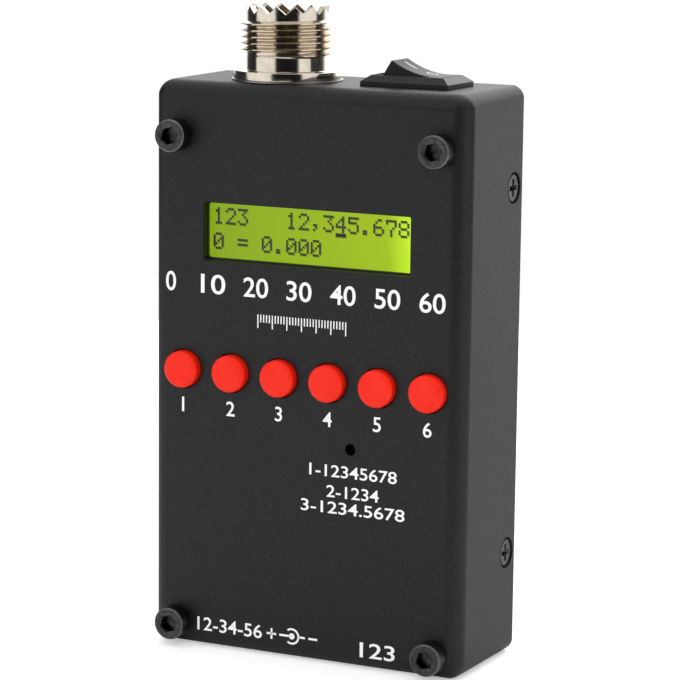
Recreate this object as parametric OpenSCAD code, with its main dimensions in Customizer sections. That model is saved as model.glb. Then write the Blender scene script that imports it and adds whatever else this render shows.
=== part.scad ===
// Hand-held antenna analyzer: metal box, character display, six keys, rocker
// power switch and a threaded coaxial jack on top.
// Origin: centre of the bottom face. +X right, -Y front panel, +Z up.

/* [Case] */
// Width across the front panel
case_w = 57.5; // [52:0.5:66]
// Height from the bottom face to the top face
case_h = 96.5; // [87:0.5:110]
// Depth from the front panel to the rear cover
case_d = 23; // [21:0.5:30]
// Sheet thickness of the front shell
wall = 1.5; // [1.2:0.05:1.7]
// Corner radius seen from the front
corner_r = 1.6; // [1:0.2:4]
// Corner radius inside the shell
cavity_r = 1; // [0.6:0.1:1.4]
// Rounding of the front edge
edge_r = 3; // [1.4:0.1:3.4]
// Thickness of the rear cover
cover_t = 1.5; // [1:0.1:1.6]
// Gap between the rear cover and the shell around it
cover_gap = 0.15; // [0.1:0.05:0.3]
// How far the side flanges of the rear cover reach forward
flange_reach = 6; // [5.6:0.2:7]

/* [Front screws] */
// Distance of the front screws from the sides
panel_screw_inset = 4.8; // [4.3:0.05:5]
// Gap between the lower spacers and the bottom wall
spacer_wall_gap = 0.3; // [0.1:0.05:0.7]
// Distance of the upper front screws below the top
panel_screw_drop = 9; // [8:0.2:10]
// Head diameter of the socket screws
socket_head_d = 5.5; // [5:0.1:5.7]
// Head height of the socket screws
socket_head_h = 3; // [2.6:0.1:3.2]
// Size of the hexagon socket across its flats
socket_af = 2.5; // [2:0.1:2.8]
// Length of the front screws under the head
panel_screw_len = 5; // [4.5:0.1:5.6]
// Thread diameter of every screw
thread_d = 3; // [2.5:0.1:3]
// Length of the hexagonal spacers between panel and main board
spacer_len = 7; // [6.3:0.1:7.7]
// Size of the spacers across their flats
spacer_af = 4.5; // [4.1:0.1:4.9]
// Length of the screws that hold the main board
board_screw_len = 4; // [3.5:0.1:4.8]
// Head diameter of the main board screws
board_head_d = 5; // [4.6:0.1:5.2]
// Head height of the main board screws
board_head_h = 1.8; // [1.5:0.1:2.2]

/* [Side screws] */
// Height of the lower side screws above the bottom
side_screw_low = 17.9; // [14:0.5:26]
// Distance of the upper side screws below the top
side_screw_drop = 16.7; // [14:0.5:26]
// Distance of the side screws in front of the rear face
side_screw_inset = 3.4; // [3.3:0.1:3.7]
// Head diameter of the countersunk side screws
side_head_d = 5.4; // [5:0.1:5.8]
// Height of the countersunk head
side_head_h = 1.3; // [1:0.05:1.35]
// Length of the side screws with their head
side_screw_len = 6; // [4.5:0.25:7]

/* [Display] */
// Width of the display window
window_w = 38; // [34:0.5:42]
// Height of the display window
window_h = 9.8; // [8.4:0.2:11]
// Distance of the window's upper edge below the top
window_drop = 19.95; // [18:0.25:22]
// Depth of the glass behind the panel's outer face
glass_recess = 2.3; // [1.9:0.1:2.6]
// Thickness of the display glass
glass_t = 2; // [1.6:0.1:2.2]
// Thickness of the backlight behind the glass
backlight_t = 2.2; // [1.8:0.1:2.4]
// Thickness of the display board
display_board_t = 0.8; // [0.6:0.1:1]
// Gap between the display board's ends and the side walls
display_side_gap = 1.25; // [0.5:0.25:3.25]
// Height of the display board
display_board_h = 21; // [18:0.5:22]
// Margin of the glass past the window on each side
glass_margin = 2.6; // [1.6:0.2:3]

/* [Keys] */
// Number of keys
key_count = 6; // [6]
// Distance of the outer keys from the sides
key_margin = 6.125; // [5.25:0.125:7.25]
// Distance of the key row below the top
key_drop = 48.5; // [44:0.5:54.5]
// Diameter of a key cap
key_d = 6.28; // [5.8:0.02:6.6]
// How far a key stands out of the panel
key_proud = 1.6; // [1:0.1:2]
// Gap between a key cap and its hole
key_gap = 0.25; // [0.15:0.05:0.35]
// Rounding of the cap's edge
key_round = 0.4; // [0.2:0.05:0.7]
// Width of the retaining rim around a cap
key_rim = 0.6; // [0.4:0.05:0.7]
// Travel of a key
key_travel = 0.25; // [0.2:0.05:0.35]
// Stem diameter of a push switch
stem_d = 3.5; // [3:0.1:3.8]
// Side length of a push switch housing
tact_w = 6; // [5.6:0.1:6.4]
// Height of a push switch housing
tact_h = 3.5; // [3.1:0.1:3.8]

/* [Charge lamp] */
// Sideways place of the lamp hole
lamp_x = 8.7; // [4:0.5:16]
// Distance of the lamp hole below the key row
lamp_drop = 10.8; // [9:0.2:13]
// Diameter of the lamp hole
lamp_hole_d = 2; // [1.6:0.1:2.6]
// Diameter of the lamp
lamp_d = 3; // [2.8:0.1:3.4]
// Height of the lamp from its base to its tip
lamp_h = 5.2; // [4.4:0.1:5.6]

/* [Coaxial jack] */
// Distance of the jack's axis from the left side
coax_inset = 19.45; // [18:0.05:20.5]
// Place of the jack's axis in depth
coax_y = 0; // [-0.4:0.1:0.6]
// Diameter of the round flange
coax_flange_d = 18; // [17:0.1:18.4]
// Thickness of the flange
coax_flange_t = 1.45; // [1.2:0.05:2.4]
// Diameter of the washer under the flange
coax_washer_d = 18.7; // [18.2:0.1:19.4]
// Thickness of that washer
coax_washer_t = 0.25; // [0.2:0.05:0.9]
// Diameter of the neck and of the notched crown
coax_neck_d = 13.8; // [13.4:0.1:14.6]
// Length of the neck
coax_neck_h = 2.4; // [1.6:0.1:3.4]
// Outer diameter of the 5/8-24 thread
coax_thread_d = 15.875; // [15.6:0.005:16]
// Length of the thread
coax_thread_h = 5.8; // [5:0.1:9]
// Height of the crown above the thread
crown_h = 2.6; // [1.6:0.1:3]
// Depth of the crown's notches
notch_depth = 1.3; // [0.8:0.1:1.5]
// Number of notches
notch_count = 14; // [10:1:16]
// Turn of the notches about the jack's axis, in degrees
crown_turn = 11; // [0:1:36]
// Inner diameter of the socket
socket_bore_d = 11.8; // [11.2:0.1:12.4]
// Bore of the centre contact
contact_bore_d = 4; // [3.8:0.05:4.2]
// Outer diameter of the centre contact
contact_d = 5.2; // [5:0.1:5.8]
// Width of the contact's slits
contact_slit = 0.5; // [0.3:0.05:0.6]
// Drop of the contact's tip below the crown's peaks
contact_drop = 2.2; // [1.8:0.1:2.4]
// Depth of the contact's bore
contact_bore_h = 12; // [9:0.5:14]
// Free length of the contact above the insulator
contact_free = 6; // [5:0.2:7]
// Diameter of the shank under the flange
shank_d = 12; // [11.4:0.1:12.6]
// Length of the shank below the top face
shank_len = 12; // [9:0.5:13]
// Diameter of the insulator inside the shank
shank_bore_d = 9; // [8:0.1:9.6]
// Size of the jack's nut across its flats
nut_af = 15; // [14.5:0.1:16]
// Thickness of the jack's nut
nut_t = 2.6; // [2:0.1:3.4]

/* [Power switch] */
// Distance of the switch's middle from the right side
switch_inset = 14.55; // [14.4:0.05:16]
// Place of the switch in depth
switch_y = 0.6; // [0:0.1:1.4]
// Width of the bezel
bezel_w = 15.7; // [14.6:0.1:16.4]
// Depth of the bezel
bezel_d = 10.5; // [9.8:0.1:11.4]
// Height of the bezel's upright edge
bezel_edge_h = 0.8; // [0.5:0.1:1]
// Height of the bezel's bevel
bezel_bevel_h = 1.05; // [0.8:0.05:1.2]
// Run of the bezel's bevel seen from above
bezel_bevel_run = 1.4; // [1:0.05:1.45]
// Thickness of the switch body's end walls
switch_end_wall = 0.5; // [0.4:0.05:0.6]
// Thickness of the switch body's side walls, which carry the pivot
switch_side_wall = 0.9; // [0.7:0.05:1.1]
// Depth of the switch body below the top face
switch_body_h = 11; // [9:0.5:11.5]
// Gap between the switch body and its cut-out
cutout_gap = 0.1; // [0.05:0.05:0.2]
// Gap between the rocker's tips and the opening round it
rocker_tip_gap = 0.14; // [0.08:0.02:0.24]
// Gap between the rocker's sides and the opening round it
rocker_side_gap = 0.2; // [0.1:0.05:0.3]
// Tip-to-tip length of the rocker's finger face
rocker_tip_w = 9.65; // [8.3:0.05:9.8]
// Slant of each end of the rocker, from foot to tip
rocker_slant = 0.82; // [0.2:0.02:0.86]
// Height of the rocker's slanted ends
rocker_face_h = 2.7; // [2:0.1:2.9]
// Depth of the rocker
rocker_d = 6.4; // [5.8:0.1:6.8]
// Height of the rocker's tips above its pivot
rocker_rise = 5.85; // [5.6:0.05:6.9]
// Depth of the dished finger face
rocker_dish = 0.8; // [0.3:0.05:0.9]
// Depth of the pivot below the top face
pivot_drop = 2.55; // [2.3:0.05:3.5]
// Half of the rocker's swing, in degrees
rocker_tilt = 14.6; // [12:0.2:15.8]
// Diameter of the pivot pins
pivot_d = 1.7; // [1.4:0.05:1.8]
// Radial clearance of the pivot pins
pivot_gap = 0.05; // [0.03:0.01:0.1]

/* [Power inlet] */
// Distance of the power inlet from the left side
inlet_inset = 20.05; // [14.75:0.25:25]
// Width of the inlet body
inlet_w = 9; // [8.6:0.1:9.6]
// Gap between the inlet body and the rear cover
inlet_gap = 0.4; // [0.2:0.05:1]
// Length of the inlet body
inlet_len = 14.4; // [13:0.2:16]
// Bore of the inlet
inlet_bore_d = 6.3; // [5.8:0.1:6.6]
// Depth of the inlet's bore
inlet_bore_h = 10; // [9:0.25:11]
// Diameter of the centre pin
inlet_pin_d = 2.1; // [1.9:0.05:2.5]
// Distance of the inlet's axis from the back of its body
inlet_axis_h = 4.5; // [4.2:0.1:5]
// Setback of the centre pin's tip from the inlet's face
inlet_pin_set = 0.8; // [0.4:0.1:1.4]

/* [Data port] */
// Distance of the data port from the right side
port_inset = 14.75; // [11.75:0.25:18.75]
// Width of the port's shell
port_w = 7.7; // [7.4:0.1:8.2]
// Height of the port's shell
port_h = 3.9; // [3.6:0.1:4.2]
// Length of the port's shell
port_len = 9.2; // [8:0.2:10]
// Thickness of the port's shell
port_t = 0.35; // [0.25:0.05:0.45]
// Setback of the port's mouth from the bottom face
port_set = 0.4; // [0.2:0.1:1]

/* [Boards and battery] */
// Thickness of the main board
board_t = 1.6; // [1.2:0.1:1.65]
// Gap between the main board and each side wall
board_side_gap = 0.75; // [0.4:0.05:1.25]
// Gap between the main board and the bottom wall
board_foot = 0.4; // [0.2:0.1:0.6]
// Height of the main board's ears above the upper screws
ear_h = 3.4; // [3:0.1:4.5]
// Depth of the main board's top notch below the top face
notch_drop = 17; // [16:0.5:18]
// Width of the main board left free on each side of the battery
cell_side = 9.5; // [8.5:0.25:12]
// Height of the battery's lower edge above the bottom
cell_z = 23; // [20:0.5:26]
// Distance of the battery's upper edge below the top
cell_drop = 23.5; // [19.5:0.5:30]
// Space between the main board and the battery
cell_front_gap = 2.4; // [2:0.1:4]
// Thickness of the foam pad behind the battery
pad_t = 1; // [0.6:0.1:1.2]
// Diameter of the inner wires
wire_d = 1.2; // [0.8:0.1:1.5]

/* [Board parts] */
// Side length of the controller chip
controller_w = 10; // [7:0.5:12]
// Thickness of the controller chip
controller_t = 1.2; // [1:0.1:1.6]
// Distance of the controller chip and the crystal from the board's left edge
controller_inset = 14.5; // [12:0.5:16]
// Height of the controller chip's middle above the bottom
controller_z = 27; // [25:0.5:28]
// Length of the signal generator chip
generator_w = 10.2; // [8:0.2:12]
// Width of the signal generator chip
generator_h = 5.3; // [4.5:0.1:7.5]
// Thickness of the signal generator chip
generator_t = 1.6; // [1.2:0.1:1.9]
// Height of the signal generator chip's middle above the bottom
generator_z = 33; // [28:0.5:40]
// Width of the charger chip
charger_w = 5; // [4:0.5:6]
// Height of the charger chip
charger_h = 4; // [3:0.5:5]
// Thickness of the charger chip
charger_t = 1.5; // [1:0.1:1.8]
// Distance of the charger chip from the board's right edge
charger_inset = 10.5; // [8:0.5:12]
// Length of the crystal's can
crystal_w = 11; // [9:0.5:12]
// Width of the crystal's can
crystal_h = 4.7; // [4:0.1:5]
// Height of the crystal's can over the board
crystal_t = 3.5; // [3:0.1:4]
// Height of the crystal, charger and capacitors above the bottom
low_parts_z = 16; // [14:0.5:17]
// Diameter of the capacitors
capacitor_d = 5; // [4:0.1:6]
// Height of the capacitors over the board
capacitor_t = 5.4; // [4.5:0.1:6]
// Spacing of the capacitors
capacitor_pitch = 7; // [6.3:0.1:8]

/* [Hidden] */
$fn = 64;
over = 1;
fit_gap = 0.03;
screw_gap = 0.05;
hole_gap = 0.15;
seat_gap = 0.1;
chamfer = 0.35;

front_y = -case_d / 2;
rear_y = case_d / 2;
panel_y = front_y + wall;
board_front_y = panel_y + spacer_len;
board_rear_y = board_front_y + board_t;
cover_y = rear_y - cover_t;
shank_r = thread_d / 2 - screw_gap;
hole_r = thread_d / 2 + screw_gap * 2;

panel_screw_x = case_w / 2 - panel_screw_inset;
panel_screw_low = wall + spacer_af / 2 + spacer_wall_gap;
panel_screw_high = case_h - panel_screw_drop;
panel_screw_places = [
    [-panel_screw_x, panel_screw_low],
    [panel_screw_x, panel_screw_low],
    [-panel_screw_x, panel_screw_high],
    [panel_screw_x, panel_screw_high]
];
side_screw_y = rear_y - side_screw_inset;
side_screw_heights = [side_screw_low, case_h - side_screw_drop];
cover_w = case_w - 2 * wall - 2 * cover_gap;
flange_top = 10;

window_mid_z = case_h - window_drop - window_h / 2;
display_board_w = case_w - 2 * wall - 2 * display_side_gap;
glass_y = front_y + glass_recess;
backlight_y = glass_y + glass_t;
display_board_y = backlight_y + backlight_t;
header_y = display_board_y + display_board_t;
header_pins = 16;
header_pitch = 2.54;
header_pin_w = 0.6;
header_h = 2.4;
header_inset = 1.6;
header_z = window_mid_z - display_board_h / 2 + header_inset;
header_tail = 1.2;

key_pitch = (case_w - 2 * key_margin) / (key_count - 1);
key_z = case_h - key_drop;
key_face_y = front_y - key_proud;
rim_y = panel_y + 0.3;
rim_t = 1.2;
tact_top_y = board_front_y - tact_h;
stem_top_y = key_face_y + 2;
stem_well = 1.4;
stem_gap = 0.15;
lamp_z = key_z - lamp_drop;

top_z = case_h;
coax_x = coax_inset - case_w / 2;
flange_z = top_z + coax_washer_t;
neck_z = flange_z + coax_flange_t;
thread_z = neck_z + coax_neck_h;
crown_z = thread_z + coax_thread_h;
peak_z = crown_z + crown_h;
contact_tip_z = peak_z - contact_drop;
insulator_z = contact_tip_z - contact_free;
disc_t = 1.5;
shank_end_z = top_z - shank_len;
nut_top_z = top_z - wall;
tail_len = 3;
tail_r = 1.2;
lead_drop = 2.5;

switch_x = case_w / 2 - switch_inset;
bezel_top = bezel_edge_h + bezel_bevel_h;
pivot_z = top_z - pivot_drop;
shoulder = rocker_rise - rocker_face_h;
rocker_foot_w = rocker_tip_w + 2 * rocker_slant;
tip_reach = rocker_tip_w / 2 * cos(rocker_tilt) + rocker_rise * sin(rocker_tilt);
foot_reach = rocker_foot_w / 2 * cos(rocker_tilt) + shoulder * sin(rocker_tilt);
rocker_slot_w = 2 * (max(tip_reach, foot_reach) + rocker_tip_gap);
rocker_slot_d = rocker_d + 2 * rocker_side_gap;
switch_body_w = rocker_slot_w + 2 * switch_end_wall;
switch_body_d = rocker_slot_d + 2 * switch_side_wall;
well_floor = 2.2;
hub_r = 1.7;
blade_w = 3.2;
blade_t = 0.6;
blade_len = 6;
blade_x = 3.6;

inlet_x = inlet_inset - case_w / 2;
inlet_h = cover_y - inlet_gap - board_rear_y;
inlet_y = cover_y - inlet_gap - inlet_axis_h;
inlet_z = wall + seat_gap;
inlet_tail_r = 0.8;
port_x = case_w / 2 - port_inset;
port_y = board_rear_y + port_h / 2;
board_w = case_w - 2 * wall - 2 * board_side_gap;
board_low = wall + board_foot;
board_high = panel_screw_high + ear_h;
board_notch_z = top_z - notch_drop;
cell_w = board_w - 2 * cell_side;
cell_h = case_h - cell_drop - cell_z;
cell_rear_y = cover_y - pad_t;
cell_t = cell_rear_y - board_rear_y - cell_front_gap;
controller_x = controller_inset - board_w / 2;
crystal_edge = 0.05;
plug_w = 4.8;
plug_h = 7.5;
plug_t = 5.6;
plug_x = (board_w - cell_side) / 2;
plug_z = cell_z + cell_h / 2;
notch_left = coax_x - nut_af / 2 - 1.5;
notch_right = switch_x + switch_body_w / 2 + 0.35;

// ---- helpers -------------------------------------------------------------

// Draws a front-view outline as a plate between two depths.
module slab(y0, y1) {
    translate([0, y1, 0]) rotate([90, 0, 0]) linear_extrude(y1 - y0) children();
}

// A round bar along Y from one depth to another.
module bar_y(y0, y1, r) {
    translate([0, y0, 0]) rotate([-90, 0, 0]) cylinder(r = r, h = y1 - y0);
}

// A round bar along X from one place to another.
module bar_x(x0, x1, r) {
    translate([x0, 0, 0]) rotate([0, 90, 0]) cylinder(r = r, h = x1 - x0);
}

// A box from its low corner to its high corner.
module block(low, high) {
    translate(low) cube(high - low);
}

module round_rect(w, h, r) {
    square([w - 2 * r, h], center = true);
    square([w, h - 2 * r], center = true);
    for (sx = [-1, 1], sz = [-1, 1])
        translate([sx * (w / 2 - r), sz * (h / 2 - r)]) circle(r);
}

module hexagon(af) {
    rotate(30) circle(r = af / sqrt(3), $fn = 6);
}

// A wire that runs straight down from a solder point and turns to the board.
module bent_wire(x, y, z0, z1) {
    translate([x, y, z1]) {
        cylinder(d = wire_d, h = z0 - z1);
        sphere(d = wire_d);
    }
    translate([x, 0, z1]) bar_y(board_rear_y, y, wire_d / 2);
}

module at_front(places) {
    for (p = places) translate([p[0], 0, p[1]]) children();
}

// ---- case ----------------------------------------------------------------

module case_outline() {
    translate([0, case_h / 2]) round_rect(case_w, case_h, corner_r);
}

module cavity_outline(gap) {
    inset = wall + gap;
    translate([0, case_h / 2])
        round_rect(case_w - 2 * inset, case_h - 2 * inset, cavity_r - gap);
}

// Outline of the case seen along one edge: its two front corners are rounded.
module front_rounded(length) {
    half = length / 2;
    translate([-half, front_y + edge_r]) square([length, case_d - edge_r]);
    translate([edge_r - half, front_y]) square([length - 2 * edge_r, edge_r]);
    for (s = [-1, 1]) translate([s * (half - edge_r), front_y + edge_r]) circle(edge_r);
}

// The block that the shell is: rounded seen from the front, above and the side.
module case_block() {
    intersection() {
        slab(front_y, rear_y) case_outline();
        linear_extrude(case_h) front_rounded(case_w);
        translate([-case_w / 2, 0, case_h / 2]) rotate([90, 0, 90])
            linear_extrude(case_w) mirror([1, -1]) front_rounded(case_h);
    }
}

module front_shell() {
    color("#303133") difference() {
        case_block();
        slab(panel_y, rear_y + over) cavity_outline(0);
        panel_holes();
        top_holes();
        bottom_holes();
        side_holes();
    }
}

module panel_holes() {
    slab(front_y - over, panel_y + over)
        translate([0, window_mid_z]) round_rect(window_w, window_h, 0.4);
    at_front([for (i = [1:key_count]) [key_x(i), key_z]])
        bar_y(front_y - over, panel_y + over, key_d / 2 + key_gap);
    at_front([[lamp_x, lamp_z]]) bar_y(front_y - over, panel_y + over, lamp_hole_d / 2);
    at_front(panel_screw_places) bar_y(front_y - over, panel_y + over, hole_r);
}

module top_holes() {
    translate([coax_x, coax_y, top_z - wall - over])
        cylinder(r = shank_d / 2 + hole_gap, h = wall + 2 * over);
    translate([switch_x, switch_y, top_z])
        cube([switch_body_w + 2 * cutout_gap, switch_body_d + 2 * cutout_gap, 2 * wall + over],
            center = true);
}

module bottom_holes() {
    translate([inlet_x, inlet_y, -over]) cylinder(d = inlet_bore_d + 0.7, h = wall + 2 * over);
    translate([port_x, port_y, -over]) linear_extrude(wall + 2 * over)
        round_rect(port_w + 0.5, port_h + 0.5, 0.8);
}

module side_holes() {
    for (m = [0, 1], z = side_screw_heights) mirror([m, 0, 0]) translate([0, side_screw_y, z]) {
        bar_x(case_w / 2 - wall - over, case_w / 2 + over, hole_r);
        countersink(screw_gap);
    }
}

// The cone of a countersunk screw head, grown by a gap.
module countersink(gap) {
    translate([case_w / 2 - side_head_h, 0, 0]) rotate([0, 90, 0])
        cylinder(r1 = shank_r + gap, r2 = side_head_d / 2 + gap, h = side_head_h);
}

module rear_cover() {
    flange_low = flange_top;
    flange_high = case_h - flange_top;
    color("#303133") difference() {
        union() {
            slab(cover_y, rear_y) cavity_outline(cover_gap);
            for (m = [0, 1]) mirror([m, 0, 0])
                block([cover_w / 2 - cover_t, rear_y - flange_reach, flange_low],
                    [cover_w / 2, cover_y + cover_t / 2, flange_high]);
        }
        for (m = [0, 1], z = side_screw_heights) mirror([m, 0, 0])
            translate([0, side_screw_y, z])
                bar_x(cover_w / 2 - cover_t - over, cover_w / 2 + over, thread_d / 2);
    }
}

// ---- fasteners -----------------------------------------------------------

module panel_screws() {
    color("#2b2827") at_front(panel_screw_places) difference() {
        union() {
            translate([0, front_y, 0]) rotate([90, 0, 0]) socket_head();
            bar_y(front_y - socket_head_h / 3, front_y + panel_screw_len, shank_r);
        }
        slab(front_y - socket_head_h - over, front_y - socket_head_h / 2) hexagon(socket_af);
    }
}

module socket_head() {
    r = socket_head_d / 2;
    rotate_extrude() polygon([[0, 0], [r, 0], [r, socket_head_h - chamfer],
        [r - chamfer, socket_head_h], [0, socket_head_h]]);
}

module spacers() {
    color("#c8a860") at_front(panel_screw_places) difference() {
        slab(panel_y, board_front_y) rotate(30) hexagon(spacer_af);
        bar_y(panel_y - over, board_front_y + over, thread_d / 2);
    }
}

module board_screws() {
    color("#b9bcc0") at_front(panel_screw_places) difference() {
        union() {
            bar_y(board_rear_y, board_rear_y + board_head_h, board_head_d / 2);
            bar_y(board_rear_y - board_screw_len, board_rear_y + board_head_h / 2, shank_r);
        }
        translate([0, board_rear_y + board_head_h, 0]) cross_recess(board_head_h * 0.55);
    }
}

module side_screws() {
    color("#2b2827") for (m = [0, 1], z = side_screw_heights) mirror([m, 0, 0])
        translate([0, side_screw_y, z]) difference() {
            union() {
                countersink(0);
                bar_x(case_w / 2 - side_screw_len, case_w / 2 - side_head_h / 2, shank_r);
            }
            translate([case_w / 2, 0, 0]) rotate([0, 0, -90]) cross_recess(0.9);
        }
}

// A cross slot cut from the head's face, which lies at Y = 0 and faces +Y.
module cross_recess(depth) {
    slot_w = 0.9;
    slot_l = 3.1;
    cube([slot_l, 2 * depth, slot_w], center = true);
    cube([slot_w, 2 * depth, slot_l], center = true);
}

// ---- boards and display ----------------------------------------------------

module main_board() {
    color("#1d5c38") difference() {
        slab(board_front_y, board_rear_y) difference() {
            translate([-board_w / 2, board_low]) square([board_w, board_high - board_low]);
            translate([notch_left, board_notch_z])
                square([notch_right - notch_left, case_h]);
        }
        at_front(panel_screw_places) bar_y(board_front_y - over, board_rear_y + over, hole_r);
        for (i = [1:header_pins]) translate([pin_x(i), board_front_y, header_z])
            cube([header_pin_w + 0.3, 4 * board_t, header_pin_w + 0.3], center = true);
    }
}

function pin_x(i) = (i - (header_pins + 1) / 2) * header_pitch;

module display_glass() {
    color("#9db821") slab(glass_y, backlight_y) translate([0, window_mid_z])
        square([window_w + 2 * glass_margin, window_h + 2 * glass_margin], center = true);
}

module display_backlight() {
    rim = 0.8;
    color("#e8ecd0") slab(backlight_y, display_board_y) translate([0, window_mid_z])
        square([window_w + 2 * glass_margin + 2 * rim, window_h + 2 * glass_margin + 2 * rim],
            center = true);
}

module display_board() {
    color("#1d5c38") difference() {
        slab(display_board_y, header_y) translate([0, window_mid_z])
            square([display_board_w, display_board_h], center = true);
        for (i = [1:header_pins]) translate([pin_x(i), display_board_y, header_z])
            cube([header_pin_w + 0.3, 4 * display_board_t, header_pin_w + 0.3], center = true);
    }
}

module display_header() {
    color("#202020") {
        difference() {
            block([pin_x(0.5), header_y, header_z - header_h / 2],
                [pin_x(header_pins + 0.5), board_front_y, header_z + header_h / 2]);
            header_pins(0.02);
        }
        header_pins(0);
    }
}

module header_pins(gap) {
    w = header_pin_w + gap;
    for (i = [1:header_pins])
        block([pin_x(i) - w / 2, display_board_y - 0.3, header_z - w / 2],
            [pin_x(i) + w / 2, board_rear_y + header_tail, header_z + w / 2]);
}

// ---- keys and lamp ---------------------------------------------------------

function key_x(i) = (i - (key_count + 1) / 2) * key_pitch;

module push_switches() {
    cover = 0.4;
    color("#26282a") for (i = [1:key_count]) translate([key_x(i), 0, key_z]) difference() {
        union() {
            slab(tact_top_y + cover, board_front_y) square(tact_w, center = true);
            slab(tact_top_y, tact_top_y + cover) square(tact_w - 2 * cover, center = true);
        }
        bar_y(tact_top_y - over, tact_top_y + stem_well, stem_d / 2 + stem_gap);
    }
}

module key_stem(i) {
    color("#d8d4c8") translate([key_x(i), 0, key_z])
        bar_y(stem_top_y, tact_top_y + stem_well - key_travel - seat_gap, stem_d / 2);
}

module key_cap(i) {
    r = key_d / 2;
    foot = rim_y + rim_t - key_face_y;
    rim_r = r + key_rim;
    rim_foot = foot - rim_t;
    color("#e23425") translate([key_x(i), key_face_y, key_z]) rotate([-90, 0, 0])
        difference() {
            rotate_extrude() {
                translate([0, key_round]) square([r, foot - key_round]);
                square([r - key_round, key_round]);
                translate([r - key_round, key_round]) mirror([0, 1]) intersection() {
                    circle(key_round);
                    square(key_round);
                }
                translate([0, rim_foot]) square([rim_r, rim_t]);
            }
            translate([0, 0, stem_top_y - key_face_y])
                cylinder(r = stem_d / 2 + fit_gap, h = foot);
        }
}

module charge_lamp() {
    r = lamp_d / 2;
    tip_y = panel_y + 0.3;
    base_y = tip_y + lamp_h;
    lead = 0.5;
    spacing = 1.27;
    color("#e8e8e4") translate([lamp_x, 0, lamp_z]) {
        translate([0, tip_y + r, 0]) sphere(r);
        bar_y(tip_y + r, base_y, r);
        bar_y(base_y - 1, base_y, r + 0.4);
        for (s = [-1, 1])
            block([s * spacing - lead / 2, base_y - lead, -lead / 2],
                [s * spacing + lead / 2, board_front_y, lead / 2]);
    }
}

// ---- coaxial jack -----------------------------------------------------------

module on_coax_axis() {
    translate([coax_x, coax_y, 0]) children();
}

module coax_washer() {
    color("#8a8580") on_coax_axis() translate([0, 0, top_z]) difference() {
        cylinder(d = coax_washer_d, h = coax_washer_t);
        translate([0, 0, -over])
            cylinder(r = shank_d / 2 + hole_gap, h = coax_washer_t + 2 * over);
    }
}

// Flange, neck, thread at its outer diameter, and the notched crown.
module coax_shell() {
    color("#c9c2b6") on_coax_axis() difference() {
        union() {
            translate([0, 0, shank_end_z]) cylinder(d = shank_d, h = flange_z - shank_end_z + over);
            translate([0, 0, flange_z]) cylinder(d = coax_flange_d, h = coax_flange_t);
            translate([0, 0, flange_z]) cylinder(d = coax_neck_d, h = peak_z - flange_z);
            translate([0, 0, thread_z]) rotate_extrude() thread_band();
        }
        translate([0, 0, insulator_z - disc_t]) cylinder(d = socket_bore_d, h = peak_z);
        translate([0, 0, shank_end_z - over]) cylinder(d = shank_bore_d, h = peak_z);
        crown_notches();
    }
}

// The thread's plain envelope, with a chamfer at each end.
module thread_band() {
    r = coax_thread_d / 2;
    run_out = (coax_thread_d - coax_neck_d) / 4;
    polygon([[0, 0], [r - run_out, 0], [r, run_out], [r, coax_thread_h - run_out],
        [r - run_out, coax_thread_h], [0, coax_thread_h]]);
}

module crown_notches() {
    half_w = PI * coax_neck_d / notch_count / 2;
    reach = coax_thread_d / 2 + over;
    slope = half_w / notch_depth;
    for (i = [0:notch_count - 1]) rotate(crown_turn + i * 360 / notch_count)
        translate([0, 0, peak_z - notch_depth]) rotate([90, 0, 90])
            linear_extrude(reach)
                polygon([[0, 0], [half_w + slope, notch_depth + over],
                    [-half_w - slope, notch_depth + over]]);
}

module coax_insulator() {
    color("#eceae2") on_coax_axis() difference() {
        union() {
            translate([0, 0, shank_end_z]) cylinder(r = shank_bore_d / 2 - fit_gap,
                h = insulator_z - disc_t / 2 - shank_end_z);
            translate([0, 0, insulator_z - disc_t])
                cylinder(r = socket_bore_d / 2 - fit_gap, h = disc_t);
        }
        translate([0, 0, shank_end_z - over]) cylinder(r = contact_d / 2 + fit_gap, h = peak_z);
    }
}

module coax_contact() {
    slit_h = contact_free - 0.5;
    color("#c8ac6a") on_coax_axis() difference() {
        union() {
            translate([0, 0, shank_end_z]) cylinder(d = contact_d, h = contact_tip_z - shank_end_z);
            translate([0, 0, shank_end_z - tail_len]) cylinder(r = tail_r, h = tail_len + over);
        }
        translate([0, 0, contact_tip_z - contact_bore_h])
            cylinder(d = contact_bore_d, h = contact_bore_h + over);
        for (turn = [45, 135]) rotate(turn)
            translate([-contact_d, -contact_slit / 2, contact_tip_z - slit_h])
                cube([2 * contact_d, contact_slit, slit_h + over]);
    }
}

module coax_nut() {
    color("#b8b4ac") on_coax_axis() translate([0, 0, nut_top_z - nut_t]) difference() {
        linear_extrude(nut_t) rotate(30) hexagon(nut_af);
        translate([0, 0, -over]) cylinder(r = shank_d / 2 + fit_gap, h = nut_t + 2 * over);
    }
}

// ---- power switch -------------------------------------------------------------

// A rectangle that narrows upwards by a run on each side.
module bevel(w, d, h, run) {
    intersection() {
        translate([0, d / 2, 0]) rotate([90, 0, 0]) linear_extrude(d)
            polygon([[-w / 2, 0], [w / 2, 0], [w / 2 - run, h], [run - w / 2, h]]);
        translate([-w / 2, 0, 0]) rotate([90, 0, 90]) linear_extrude(w)
            polygon([[-d / 2, 0], [d / 2, 0], [d / 2 - run, h], [run - d / 2, h]]);
    }
}

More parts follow.
